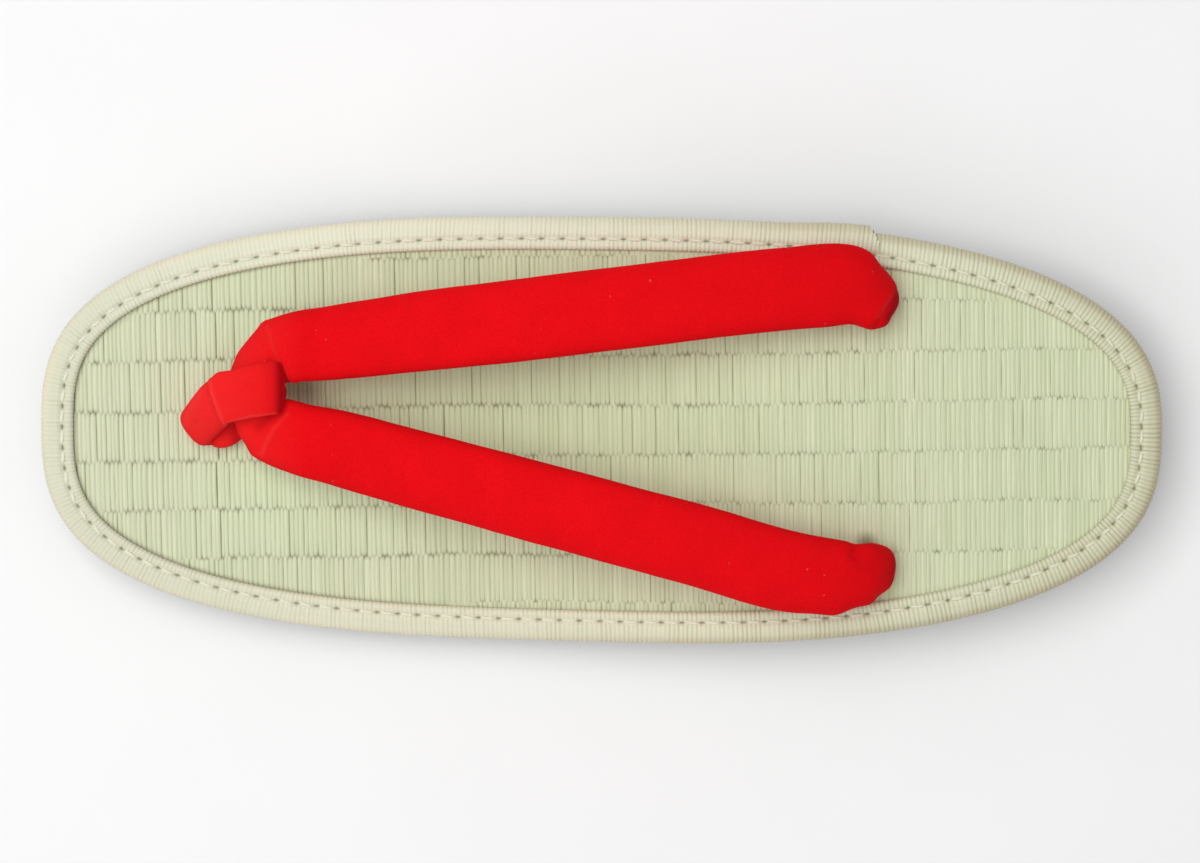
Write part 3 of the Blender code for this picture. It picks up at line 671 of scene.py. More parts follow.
# Where a strand's stations lie from its end, with the share of its width and height there. A tip dives
# between its neighbours; a cut end, at a hole or under the tape, only stops.
TipStation = namedtuple("TipStation", "away width height")
DIVING_TIP = table(TipStation, (
    (0.0 * MM, 0.22, -0.75),
    (0.35 * MM, 0.55, 0.05),
    (0.85 * MM, 0.85, 0.62),
    (1.60 * MM, 1.00, 0.92),
))
CUT_END = table(TipStation, (
    (0.0 * MM, 0.85, -0.60),
    (0.12 * MM, 0.95, 0.55),
    (0.50 * MM, 1.00, 0.90),
    (1.40 * MM, 1.00, 1.00),
    (1.90 * MM, 1.00, 1.00),
    (2.80 * MM, 1.00, 1.00),
))
MIDDLE_STATIONS = (0.38, 0.62)
LONGEST_TIP = 0.36
STRAND_LEAN = 0.12
LOWEST_CREST = 0.70
# The painted shade in the valleys is drawn between these, then made more uneven by the power
VALLEY_SHADES = (0.28, 0.95)
VALLEY_POWER = 1.3
# How strongly painted shade darkens the last stretch of a strand, over what length, and from what length on
# in full
END_SHADE = 1.3
END_REACH = 1.3 * MM
END_FULL_LENGTH = 4 * MM
# Shares of the painted shade in valleys and on tips, each as its start at the heel and its gain to the toe,
# with where that gain begins and over what length it comes
VALLEY_SHARE = (0.66, 0.22)
TIP_SHARE = (0.62, 0.38)
SHADE_CHANGE_Y = -80 * MM
SHADE_CHANGE_LENGTH = 140 * MM
STRAND_SEED = 1406
STRAND_SECTION = ((-1.0, 0.0), (-0.66, 0.70), (0.0, 1.0), (0.66, 0.70), (1.0, 0.0))


class StrandBuilder:
    """Collects the rush strands' points, faces and tones."""

    def __init__(self, sizes):
        self.sizes = sizes
        self.points, self.faces, self.tones = [], [], []
        self.random = random.Random(STRAND_SEED)

    def add(self, u, low, high, width, tone, ends):
        """One visible length of rush at u, from low to high across the sole."""
        length = high - low
        squeeze = min(1.0, LONGEST_TIP * length / max(end[-1].away for end in ends))
        stations = [(low + tip.away * squeeze, tip) for tip in ends[0]]
        stations += [(low + length * share, TipStation(0.0, 1.0, 1.0)) for share in MIDDLE_STATIONS]
        stations += [(high - tip.away * squeeze, tip) for tip in reversed(ends[1])]
        toeward = smooth_step((u - SHADE_CHANGE_Y) / SHADE_CHANGE_LENGTH)
        tip_share, valley_share = rising(TIP_SHARE, toeward), rising(VALLEY_SHARE, toeward)
        lean = self.random.uniform(-STRAND_LEAN, STRAND_LEAN) * MM
        crest = self.random.uniform(LOWEST_CREST, 1.0)
        shades = [self.random.uniform(*VALLEY_SHADES) ** VALLEY_POWER for _ in range(2)]
        start = len(self.points)
        for v, tip in stations:
            bow = lean * math.sin(math.pi * (v - low) / length)
            near_end = min(1.0, length / END_FULL_LENGTH) * math.exp(-min(v - low, high - v) / END_REACH)
            ending = tip_share * min(1.0, max(0.0, 1.0 - tip.height))
            for side, lift in STRAND_SECTION:
                across = u + bow + side * tip.width * width / 2
                height = self.sizes.strand_height * (tip.height * crest * lift - 1.0)
                self.points.append((*on_sole(across, v, self.sizes.turn), height))
                # Painted shade in the valleys and near the ends, and on the tips as they sink
                shade = min(1.0, valley_share * shades[side > 0] + END_SHADE * near_end)
                self.tones.append((tone, abs(side) ** 1.6 * shade, ending))
        columns = len(STRAND_SECTION)
        self.faces += grid_faces(len(stations), columns, start=start)
        for first in (start, start + (len(stations) - 1) * columns):
            ring = list(range(first, first + columns))
            self.faces.append(ring if first == start else ring[::-1])


# How unevenly and how far apart rushes lie, each as its start at the heel and its gain to the toe
STRAND_UNEVEN = (0.17, 0.14)
STRAND_SPACING = (0.92, 0.12)
# A rush's width as a share of its place at the heel, and what is gone of that at the toe
STRAND_FILL = 1.12
STRAND_FILL_LOSS = 0.07
WARP_WAVE = 22 * MM
WARP_SWAY = 0.45


def strand_places(sizes, chance):
    """Half-pitch places of the strands along the sole, heel to toe."""
    places = [HEEL_Y + 5 * MM]
    while places[-1] < TOE_Y - 5 * MM:
        toeward = (places[-1] - HEEL_Y) / SOLE_LENGTH
        uneven = chance.uniform(-1.0, 1.0) * rising(STRAND_UNEVEN, toeward)
        places.append(places[-1] + sizes.strand_pitch / 2 * rising(STRAND_SPACING, toeward) * (1.0 + uneven))
    return places


def warp_line(sizes, row, u):
    """Where a warp line lies at u, a little wavy."""
    sway = noise.noise(Vector((row * 7.3, u / WARP_WAVE, 0.4))) * WARP_SWAY * MM
    return sizes.row_offset + row * sizes.row_pitch + sway


def clear_stretches(u, low, high, turn):
    """The parts of a strand from low to high that no hole takes, with whether each end is cut."""
    stretches = [(low, False, high, False)]
    for hole in HOLES:
        if abs(u - hole.y) > HOLE_NEAR:
            continue
        crossed = in_hole(u, hole, turn)
        if crossed is None:
            continue
        left = []
        for start, start_cut, end, end_cut in stretches:
            if crossed[1] < start or crossed[0] > end:
                left.append((start, start_cut, end, end_cut))
                continue
            if crossed[0] > start:
                left.append((start, start_cut, crossed[0], True))
            if crossed[1] < end:
                left.append((crossed[1], True, end, end_cut))
        stretches = left
    return stretches


# Rows of rushes across the sole, where their ends lie under the tape, and how narrow the footbed may be
ROWS = range(-6, 6)
FOOTBED_INSET = 5.6 * MM
NARROWEST = 2 * MM
# A row that would reach less than SHORT_ROW in from the tape gives way to its neighbour, which runs on; a
# rush of it shorter than ROW_STUB is left out
SHORT_ROW = 2.3 * MM
ROW_STUB = 1.7 * MM
SHORTEST_STRAND = 0.9 * MM
OVERLAP_SPREAD = (0.35, 1.45)
STRAND_TONE, ROW_TONE = 0.8, 0.2


def weave_strands(sizes):
    """All the rush strands of the footbed, with heights over the mat's top."""
    builder = StrandBuilder(sizes)
    chance = builder.random
    places = strand_places(sizes, chance)
    tones = [chance.uniform(0.0, 1.0) for _ in places]
    for index in range(1, len(places) - 1):
        u = places[index]
        limit = float(RIM.half_width(np.array([u]), FOOTBED_INSET)[0])
        if limit < NARROWEST:
            continue
        fill = STRAND_FILL - STRAND_FILL_LOSS * (u - HEEL_Y) / SOLE_LENGTH
        width = (places[index + 1] - places[index - 1]) * fill
        slide = math.sin(sizes.turn) * u
        for row in ROWS:
            if (row + index) % 2:
                continue
            reach = [sizes.overlap * chance.uniform(*OVERLAP_SPREAD) for _ in range(2)]
            left, right = warp_line(sizes, row, u), warp_line(sizes, row + 1, u)
            if right < slide - limit + ROW_STUB or left > slide + limit - ROW_STUB:
                continue
            low_cut, high_cut = left < slide - limit + SHORT_ROW, right > slide + limit - SHORT_ROW
            low = slide - limit if low_cut else left - reach[0]
            high = slide + limit if high_cut else right + reach[1]
            tone = STRAND_TONE * tones[index] + ROW_TONE * chance.uniform(0.0, 1.0)
            for start, start_cut, end, end_cut in clear_stretches(u, low, high, sizes.turn):
                if end - start < SHORTEST_STRAND:
                    continue
                ends = [CUT_END if start_cut or (low_cut and start == low) else DIVING_TIP,
                        CUT_END if end_cut or (high_cut and end == high) else DIVING_TIP]
                builder.add(u, start, end, width, tone, ends)
    return builder


# The painted shadow of the tape's lip on the rushes, as its start at the heel and its gain to the toe, and
# its reach
LIP_SHADE = (0.25, 0.60)
LIP_SHADE_REACH = 0.75 * MM
LIP_CHANGE_Y = 10 * MM
LIP_CHANGE_LENGTH = 90 * MM


def lip_shade(points):
    """How dark the painted shadow of the tape's lip makes each point beside it, strongest at the toe."""
    near = KDTree(RIM_STEPS)
    lip = RIM.inset(np.linspace(0.0, 1.0, RIM_STEPS, endpoint=False), TAPE_TOP_LIP)
    for index, (x, y) in enumerate(zip(*lip)):
        near.insert((x, y, 0.0), index)
    near.balance()
    away = np.array([near.find((x, y, 0.0))[2] for x, y in points[:, :2]])
    toeward = smooth_step((points[:, 1] - LIP_CHANGE_Y) / LIP_CHANGE_LENGTH)
    return rising(LIP_SHADE, toeward) * falloff(away, LIP_SHADE_REACH)


EDGE_ARC = 8
SLAB_STEPS = 240
OVAL_SIDES = 48
OVAL_TOP = 60 * MM


def backing_rings(drop):
    """Rings of the mat's backing from its top inward edge round to its underside, (inset, height)."""
    upper = MAT_THICKNESS / 2 - drop
    middle = -MAT_THICKNESS / 2
    rings = [(EDGE_RADIUS + 1.5 * MM, middle + upper)]
    for step in range(EDGE_ARC + 1):
        angle = math.pi / 2 - math.pi * step / EDGE_ARC
        rise = upper if angle > 0 else MAT_THICKNESS / 2
        inset = EDGE_RADIUS - MAT_THICKNESS / 2 * math.cos(angle)
        rings.append((inset, middle + rise * math.sin(angle)))
    return rings


def backing_slab(sizes, material):
    """The mat's body under the rushes, with its three holes cut through."""
    count = SLAB_STEPS
    turns = np.arange(count) / count
    points = []
    rings = backing_rings(sizes.strand_height)
    for inset, height in rings:
        x, y = RIM.inset(turns, inset)
        points += [(a, b, mat_top(b) + height) for a, b in zip(x, y)]
    faces = [face[::-1] for face in grid_faces(len(rings), count, wrap_columns=True)]
    last = (len(rings) - 1) * count
    half = count // 2
    for start, flip in ((0, False), (last, True)):
        ring = list(range(start, start + count))
        caps = [[ring[0], ring[-1], ring[1]]]
        caps += [[ring[i], ring[-i], ring[-i - 1], ring[i + 1]] for i in range(1, half - 1)]
        caps += [[ring[half - 1], ring[half + 1], ring[half]]]
        faces += [cap[::-1] if flip else cap for cap in caps]
    slab = new_mesh("mat_slab", points, faces, material, tones=np.zeros((len(points), 3)))
    for hole in HOLES:
        cut_oval(slab, hole)
    return slab


def cut_oval(piece, hole):
    """Cuts an upright oval hole through a piece and applies the cut."""
    sides = OVAL_SIDES
    angle = np.arange(sides) / sides * math.tau
    tilt = math.radians(hole.turn)
    along, across = np.cos(angle) * hole.long, np.sin(angle) * hole.short
    x = hole.x + along * math.cos(tilt) - across * math.sin(tilt)
    y = hole.y + along * math.sin(tilt) + across * math.cos(tilt)
    points = [(a, b, z) for z in (0.0, OVAL_TOP) for a, b in zip(x, y)]
    faces = [face[::-1] for face in grid_faces(2, sides, wrap_columns=True)]
    faces += [list(range(sides))[::-1], list(range(sides, 2 * sides))]
    cutter = new_mesh("oval_cutter", points, faces, piece.data.materials[0])
    change = piece.modifiers.new("hole", "BOOLEAN")
    change.operation = "DIFFERENCE"
    change.object = cutter
    bake_modifiers(piece)
    bpy.data.objects.remove(cutter)


def bake_modifiers(piece):
    """Applies all modifiers of a piece to its mesh."""
    graph = bpy.context.evaluated_depsgraph_get()
    graph.update()
    baked = bpy.data.meshes.new_from_object(piece.evaluated_get(graph), depsgraph=graph)
    piece.modifiers.clear()
    piece.data = baked


def join(pieces, name):
    """Joins pieces into the first one."""
    with bpy.context.temp_override(active_object=pieces[0], selected_editable_objects=pieces):
        bpy.ops.object.join()
    pieces[0].name = name
    return pieces[0]


# The tape's section from the top lip over the edge and under, (inset, height over the mat, share of the
# lap's raise, share of the ribs), in millimetres. The outer half-round is worked out between the two parts.
TapePoint = namedtuple("TapePoint", "inset height lap rib")
TAPE_TOP = table(TapePoint, (
    (6.75, 0.22, 0.0, 0.0),
    (7.02, 0.42, 0.1, 0.6),
    (7.06, 0.75, 0.2, 1.0),
    (6.92, 1.08, 0.3, 1.0),
    (6.58, 1.38, 0.3, 1.0),
    (6.10, 1.48, 0.3, 1.0),
    (5.60, 1.38, 0.3, 1.0),
    (5.15, 1.14, 0.3, 1.0),
    (4.80, 1.00, 0.4, 0.8),
    (4.45, 1.12, 0.5, 1.0),
    (4.05, 1.32, 0.6, 1.0),
    (3.50, 1.42, 0.8, 1.0),
))
TAPE_UNDER = table(TapePoint, (
    (4.20, -4.72, 0.3, 0.5),
    (6.00, -4.70, 0.0, 0.0),
    (6.00, -4.05, 0.0, 0.0),
    (2.95, -3.85, 0.0, 0.0),
    (0.90, -1.75, 0.0, 0.0),
    (2.95, 0.28, 0.0, 0.0),
))
RIB_WAVE = (-1.5, 0.7, 1.0, 0.7)
RIB_SHADE = (1.0, 0.10, 0.0, 0.10)
RIB_STATIONS = len(RIB_WAVE)
EDGE_STEPS = 11
LAP_SLANT = 0.69
HOLE_LONG = 0.86 * MM
HOLE_SHORT = 0.30 * MM
HOLE_SINK = 0.36 * MM
# How far ribs lean and drift round the rim, and how unevenly they are spaced and raised
RIB_LEAN = 0.09
RIB_DRIFT = 0.10
RIB_JITTER = 0.07
RIB_UNEVEN = 0.30
# Shares of a rib's height and of its furrow's painted shade, each as its start at the toe and its gain to the
# heel
RIB_RISE = (0.68, 0.32)
FURROW_SHARE = (0.38, 0.62)
RIB_CHANGE_LENGTH = 160 * MM
MOST_VIGOUR = 1.6
# How strongly the tape's outer edge takes its dirt and its painted light and shade, with how much that varies
# round it
WORN = 0.75
WORN_SPREAD = 0.30
WORN_INSET = 2.6 * MM
WORN_FADE = 1.8 * MM
TAPE_SHARP_ANGLE = 65


def tape_section():
    """The tape's closed section as arrays in metres: inset, height, lap, rib and outward direction."""
    points = list(TAPE_TOP)
    radius, middle = EDGE_RADIUS / MM, -MAT_THICKNESS / 2 / MM
    for step in range(EDGE_STEPS + 1):
        angle = math.pi / 2 - math.pi * step / EDGE_STEPS
        height = middle + radius * math.sin(angle)
        share = 1.0 if angle > -0.9 else 0.5
        points.append(TapePoint(radius * (1 - math.cos(angle)), height, share, share))
    points += TAPE_UNDER
    section = np.array(points)
    section[:, :2] *= MM
    ahead = np.roll(section[:, :2], -1, 0) - np.roll(section[:, :2], 1, 0)
    return section, normalised(np.stack([ahead[:, 1], -ahead[:, 0]], 1))


def stitch_turns(sizes):
    """Turns of the stitches' middles round the seam."""
    turns = np.linspace(0.0, 1.0, SEAM_STEPS)
    x, y = RIM.inset(turns, STITCH_INSET)
    lengths = np.concatenate([[0.0], np.cumsum(np.hypot(np.diff(x), np.diff(y)))])
    count = round(lengths[-1] / sizes.stitch_pitch)
    return np.interp((np.arange(count) + 0.5) / count * lengths[-1], lengths, turns), float(lengths[-1])


def slow_wave(turns, seed, waves):
    """Smooth noise round the rim, about -1 to 1, the same at turn 0 and 1."""
    chance = random.Random(seed)
    total = np.zeros_like(turns)
    for wave in range(1, waves + 1):
        total += chance.uniform(0.4, 1.0) * np.sin(math.tau * (wave * turns + chance.random())) / wave ** 0.5
    return total / 2


def rib_jitter(ribs, seed, size):
    """The same chance number for the stations of each rib, as a share of a rib's turn."""
    chance = np.random.default_rng(seed)
    return np.repeat(chance.uniform(-size, size, ribs), RIB_STATIONS) / ribs


def build_tape(sizes, material):
    """The ribbed tape folded round the mat's edge, with its stitch groove, needle holes and lapped end."""
    section, outward = tape_section()
    inset, height, lap, rib = section.T
    ribs = round(RIM.perimeter / sizes.rib_pitch)
    count = ribs * RIB_STATIONS
    base = np.arange(count) / count
    lean = RIB_LEAN * slow_wave(base, 3, 40)
    place = base + RIB_DRIFT * slow_wave(base, 21, 90) / ribs + rib_jitter(ribs, 31, RIB_JITTER)
    turns = place[:, None] + lean[:, None] * (inset - 3 * MM) / RIM.perimeter
    lap_turn = RIM.turn_at(HEEL_Y + TAPE_LAP_FROM_HEEL) + LAP_SLANT * inset / RIM.perimeter
    behind = lap_turn - turns
    raised = np.where(behind > 0, smooth_step(1 - behind * RIM.perimeter / TAPE_LAP_LENGTH), 0.0)
    raised *= TAPE_LAP_RAISE * lap
    wave = np.tile(RIB_WAVE, ribs)
    vigour = 1.0 + rib_jitter(ribs, 37, RIB_UNEVEN) * ribs
    heelward = smooth_step(0.5 - RIM.inset(base, 0.0)[1] / RIB_CHANGE_LENGTH)
    swell = (sizes.rib_height * vigour * wave * rising(RIB_RISE, heelward))[:, None] * rib
    seam_turns, _ = stitch_turns(sizes)
    gap_turns = (seam_turns + np.roll(seam_turns, -1)) / 2
    gap_turns[-1] = 0.0
    away = np.abs((turns[:, :, None] - gap_turns + 0.5) % 1.0 - 0.5).min(2) * RIM.perimeter
    pit = np.exp(-(away / HOLE_LONG) ** 2 - ((inset - STITCH_INSET) / HOLE_SHORT) ** 2)
    pit *= (height > 0) * (inset > 3 * MM)
    move = swell - pit * HOLE_SINK
    out_inset = inset + outward[:, 0] * move - raised * (inset < EDGE_RADIUS)
    up = height + outward[:, 1] * move + 0.5 * raised * (height > -MAT_THICKNESS / 2)
    x, y = RIM.inset(turns, out_inset)
    ground_y = RIM.inset(turns, np.broadcast_to(inset, turns.shape))[1]
    points = np.stack([x, y, mat_top(ground_y) + up], -1).reshape(-1, 3)
    # Tones: painted shade in the rib furrows, the outer edge's dirt and painted light, and painted shade in
    # the needle holes
    deep = np.tile(RIB_SHADE, ribs) * np.clip(vigour, 0.3, MOST_VIGOUR) / MOST_VIGOUR
    furrow = deep[:, None] * rib
    furrow *= rising(FURROW_SHARE, heelward)[:, None]
    grime = WORN + WORN_SPREAD * slow_wave(base, 5, 24)
    outer = smooth_step((WORN_INSET - inset) / WORN_FADE) * (rib > 0)
    wear = np.clip(grime, 0.0, 1.0)[:, None] * outer
    tones = np.stack([furrow, wear, pit], -1).reshape(-1, 3)
    faces = grid_faces(count, len(inset), wrap_rows=True, wrap_columns=True)
    return new_mesh("ribbed_tape_edge", points, faces, material, tones, sharp_angle=TAPE_SHARP_ANGLE)


THREAD_SIDES = 10
THREAD_STATIONS = 12
THREAD_SEED = 77
# The thread's two plies: how far they stand out, and how often they turn over half a stitch
PLY_RELIEF = 0.16
PLY_TURNS = 2.2
# How much stitches differ in length, slant, thickness and crown
STITCH_LENGTHS = (0.92, 1.06)
STITCH_SLANT = 0.16
STITCH_SLANTS = (-0.08, 0.08)
STITCH_RADII = (0.9, 1.08)
STITCH_CROWN = 0.92
STITCH_CROWNS = (-0.04, 0.06)
STITCH_DIVE = 0.95 * MM
STITCH_SLIMMING = 0.35


def build_stitches(sizes, material):
    """Every stitch of the seam as a short twisted thread that dives at both ends."""
    chance = random.Random(THREAD_SEED)
    middles, seam_length = stitch_turns(sizes)
    points, faces = [], []
    share = np.linspace(-1.0, 1.0, THREAD_STATIONS)
    angle = np.arange(THREAD_SIDES) / THREAD_SIDES * math.tau
    for middle in middles:
        half = sizes.stitch_length * chance.uniform(*STITCH_LENGTHS) / 2
        drift = (STITCH_SLANT + chance.uniform(*STITCH_SLANTS)) * MM
        radius = sizes.thread_width / 2 * chance.uniform(*STITCH_RADII)
        crown = (STITCH_CROWN + chance.uniform(*STITCH_CROWNS)) * MM
        turns = middle + share * half / seam_length
        arch = crown + radius * 0.55 - STITCH_DIVE * np.abs(share) ** 5
        x, y = RIM.inset(turns, STITCH_INSET + drift * share)
        inner_x, inner_y = RIM.inset(turns, STITCH_INSET + 1 * MM)
        side = normalised(np.stack([inner_x - x, inner_y - y], 1))
        slim = radius * (1 - STITCH_SLIMMING * np.abs(share) ** 4)
        ply = 1 + PLY_RELIEF * np.cos(2 * (angle - math.pi * PLY_TURNS * share[:, None]))
        out, lift = (wave(angle) * slim[:, None] * ply for wave in (np.cos, np.sin))
        ring = (x[:, None] + side[:, :1] * out, y[:, None] + side[:, 1:] * out,
                (mat_top(y) + arch)[:, None] + lift)
        start = len(points)
        points += np.stack(ring, -1).reshape(-1, 3).tolist()
        faces += tube_faces(THREAD_STATIONS, THREAD_SIDES, start)
    return new_mesh("seam_stitches", points, faces, material)


def direction(heading, tilt):
    """A unit vector from its heading in the floor plane, in degrees from +X, and its tilt above it."""
    turned, raised = math.radians(heading), math.radians(tilt)
    level = math.cos(raised)
    return np.array((math.cos(turned) * level, math.sin(turned) * level, math.sin(raised)))


def station(place, width, thickness, long_axis, fullness=PILLOW_FULLNESS):
    """A row of nine numbers: place, width, thickness, the section's long axis and its fullness."""
    return np.concatenate([place, [width, thickness], long_axis, [fullness]])


def between_holes(end, rows, socket):
    """All rows of a velvet tube, with three stations of its end, from end(side, depth), in each socket."""
    depths = (socket - CLEARANCE, (socket - CLEARANCE) / 2, -CLEARANCE)
    down = [end(1, depth) for depth in depths]
    up = [end(-1, depth) for depth in reversed(depths)]
    return np.array([*down, *rows, *up])


def strap_station(row):
    y = SIDE_HOLE_Y + row.along * (TOE_HOLE_Y - SIDE_HOLE_Y)
    x = row.across * SIDE_HOLE_SPAN / 2
    place = (x, y, mat_top(y) + row.rise * STRAP_RISE)
    return station(place, row.width * STRAP_WIDTH, row.thickness * STRAP_THICKNESS,
                   direction(row.heading, row.tilt))


def side_end(side, depth):
    """A station of the strap's gathered end in a side hole."""
    heading = 180 + SIDE_END_TURN if side > 0 else 360 - SIDE_END_TURN
    place = (side * SIDE_HOLE_SPAN / 2, SIDE_HOLE_Y, mat_top(SIDE_HOLE_Y) - depth)
    return station(place, SIDE_END_WIDTH * STRAP_WIDTH, SIDE_END_THICKNESS * STRAP_THICKNESS,
                   direction(heading, 0))


def strap_rows():
    return between_holes(side_end, map(strap_station, (*RIGHT_ARM, APEX, *LEFT_ARM)), SIDE_SOCKET_DEPTH)


def limb_end(side, depth):
    """A station of a limb of the toe loop in the toe hole, the front limb at side 1 and the back at -1."""
    thickness = LOOP_END_THICKNESS * LOOP_THICKNESS
    y = TOE_HOLE_Y + side * (thickness + LIMB_GAP) / 2
    return station((0.0, y, mat_top(TOE_HOLE_Y) - depth), LOOP_END_WIDTH * LOOP_WIDTH, thickness,
                   direction(0, 0))


def pillow(width, thickness, fullness, angle):
    """Points of a pillow-shaped section at these angles, across and out."""
    power = 2 / fullness
    across = np.sign(np.cos(angle)) * np.abs(np.cos(angle)) ** power * width / 2
    out = np.sign(np.sin(angle)) * np.abs(np.sin(angle)) ** power * thickness / 2
    return across, out


def loop_station(row):
    place = (row.x * MM, row.y * MM, mat_top(row.y * MM) + row.rise * MM)
    return station(place, row.width * MM, row.thickness * MM, direction(row.heading, row.tilt), row.fullness)


def loop_rows():
    return between_holes(limb_end, map(loop_station, LOOP_ROWS), TOE_SOCKET_DEPTH)


def smooth_stations(rows, gap):
    """Stations about this far apart on a centripetal curve through the rows."""
    padded = np.concatenate([[2 * rows[0] - rows[1]], rows, [2 * rows[-1] - rows[-2]]])
    stations = []
    for a, b, c, d in zip(padded, padded[1:], padded[2:], padded[3:]):
        spans = [max(1e-4, float(np.linalg.norm(q[:3] - p[:3]))) ** 0.5 for p, q in ((a, b), (b, c), (c, d))]
        k0, k1, k2, k3 = np.cumsum([0.0, *spans])
        steps = max(1, round(float(np.linalg.norm(c[:3] - b[:3])) / gap))
        for t in k1 + (k2 - k1) * np.arange(steps) / steps:
            ab = a + (b - a) * (t - k0) / (k1 - k0)
            bc = b + (c - b) * (t - k1) / (k2 - k1)
            cd = c + (d - c) * (t - k2) / (k3 - k2)
            abc = ab + (bc - ab) * (t - k0) / (k2 - k0)
            bcd = bc + (cd - bc) * (t - k1) / (k3 - k1)
            stations.append(abc + (bcd - abc) * (t - k1) / (k2 - k1))
    stations.append(rows[-1])
    return np.array(stations)


def sweep_grid(stations, sides):
    """Points of a padded tube, station by side, and which way each faces."""
    places = stations[:, :3]
    tangent = np.empty_like(places)
    tangent[1:-1] = places[2:] - places[:-2]
    tangent[0], tangent[-1] = places[1] - places[0], places[-1] - places[-2]
    tangent = normalised(tangent)
    across = stations[:, 5:8]
    across = normalised(across - tangent * (across * tangent).sum(1, keepdims=True))
    out = np.cross(across, tangent)
    angle = np.arange(sides) / sides * math.tau
    wide, thick = pillow(stations[:, 3:4], stations[:, 4:5], stations[:, 8:9], angle)
    points = places[:, None] + across[:, None] * wide[..., None] + out[:, None] * thick[..., None]
    facing = normalised(np.cross(np.gradient(points, axis=0), np.roll(points, -1, 1) - np.roll(points, 1, 1)))
    return points, facing


def soft_noise(points, scale, seed):
    """Smooth noise at each point of a grid, about -1 to 1."""
    flat = points.reshape(-1, 3) / scale
    shift = Vector((seed * 3.1, seed * 5.7, seed * 1.9))
    values = [noise.noise(Vector(point) + shift) for point in flat]
    return np.array(values).reshape(points.shape[:-1])


# Creases laid across the velvet, as lines over the floor plan in millimetres. depth is how far
# the trough goes in, and reach is its half width; a ridge has a depth below 0.
Crease = namedtuple("Crease", "line depth reach")
STRAP_CREASES = table(Crease, (
    (((22.6, 71.2), (18.4, 69.6), (14.4, 68.0), (10.6, 65.8)), 0.42, 0.50),
    (((21.6, 69.4), (17.4, 67.8), (13.4, 66.0), (10.2, 64.0)), -0.28, 1.00),
    (((20.4, 72.6), (16.4, 72.4), (12.6, 71.0)), 0.16, 1.40),
    (((4.4, 66.4), (1.6, 68.9), (-1.6, 70.8), (-4.4, 72.0)), 0.34, 0.50),
    (((3.6, 65.0), (0.6, 67.6), (-2.6, 69.6), (-5.6, 70.8)), -0.24, 0.90),
    (((1.8, 74.8), (3.4, 71.4), (5.0, 69.0)), 0.16, 1.20),
    (((31.2, -62.4), (29.2, -60.8), (26.6, -58.9), (23.8, -57.5)), 0.50, 0.55),
    (((30.4, -60.4), (28.2, -58.8), (25.8, -57.0)), -0.26, 0.90),
    (((-22.6, -53.2), (-25.0, -54.3), (-27.0, -54.6)), 0.18, 0.90),
    (((-22.6, -55.2), (-25.8, -56.4), (-29.4, -56.6)), -0.14, 1.00),
    (((-27.6, -61.2), (-30.6, -60.0), (-34.0, -58.8)), 0.30, 0.80),
))
LOOP_CREASES = table(Crease, (
    (((11.0, 82.0), (8.0, 81.5), (4.6, 80.2), (1.0, 78.8)), -0.24, 0.70),
    (((11.0, 83.4), (7.6, 82.8), (4.2, 81.5), (0.8, 80.1)), 0.16, 0.80),
    (((4.0, 67.6), (9.0, 67.5), (14.6, 67.6)), -0.16, 0.50),
    (((4.2, 69.2), (9.0, 69.1), (14.6, 69.3)), 0.10, 0.80),
))

# Lines of painted highlight, and of painted shade, laid out in the same way: depth is how much, from 0 to 1
STRAP_RUBS = table(Crease, (
    (((22.2, 70.4), (18.0, 68.9), (14.0, 67.3), (10.4, 65.2)), 0.35, 0.32),
    (((4.0, 65.9), (1.2, 68.4), (-2.0, 70.3), (-4.8, 71.5)), 0.40, 0.40),
    (((30.2, -60.8), (28.0, -59.2), (25.4, -57.6)), 0.30, 0.35),
))
STRAP_SHADES = table(Crease, (
    (((30.6, -62.6), (28.2, -61.4), (25.6, -60.0)), 0.85, 1.10),
    (((31.0, -64.6), (26.0, -63.2)), 0.60, 1.60),
    (((-26.0, -63.4), (-32.6, -62.8)), 0.70, 1.60),
    (((10.4, 67.4), (12.8, 68.6), (15.0, 69.6)), 0.45, 0.90),
    (((4.8, 67.6), (2.6, 70.0), (1.0, 72.0)), 0.45, 1.10),
    (((-23.4, -53.8), (-27.0, -55.8)), 0.22, 1.60),
))
LOOP_RUBS = table(Crease, (
    (((10.6, 82.0), (8.0, 81.4), (4.6, 80.1), (1.4, 78.9)), 0.50, 0.38),
    (((1.6, 79.0), (2.3, 77.8), (3.6, 73.0), (4.2, 68.0)), 0.50, 0.34),
    (((8.0, 85.0), (4.0, 87.4), (1.0, 88.4)), 0.30, 1.20),
))
LOOP_SHADES = table(Crease, (
    (((5.0, 67.0), (9.6, 66.9), (14.4, 67.0)), 0.75, 1.30),
    (((0.6, 78.4), (-2.0, 78.0)), 0.40, 1.20),
))

# How much of a crease is felt by how far up the velvet faces, and the padding's large and small lumps
UPWARD = (0.2, 2.5)
LUMP = 14 * MM
SMALL_LUMP = 6 * MM
SMALL_LUMP_SHARE = 0.25

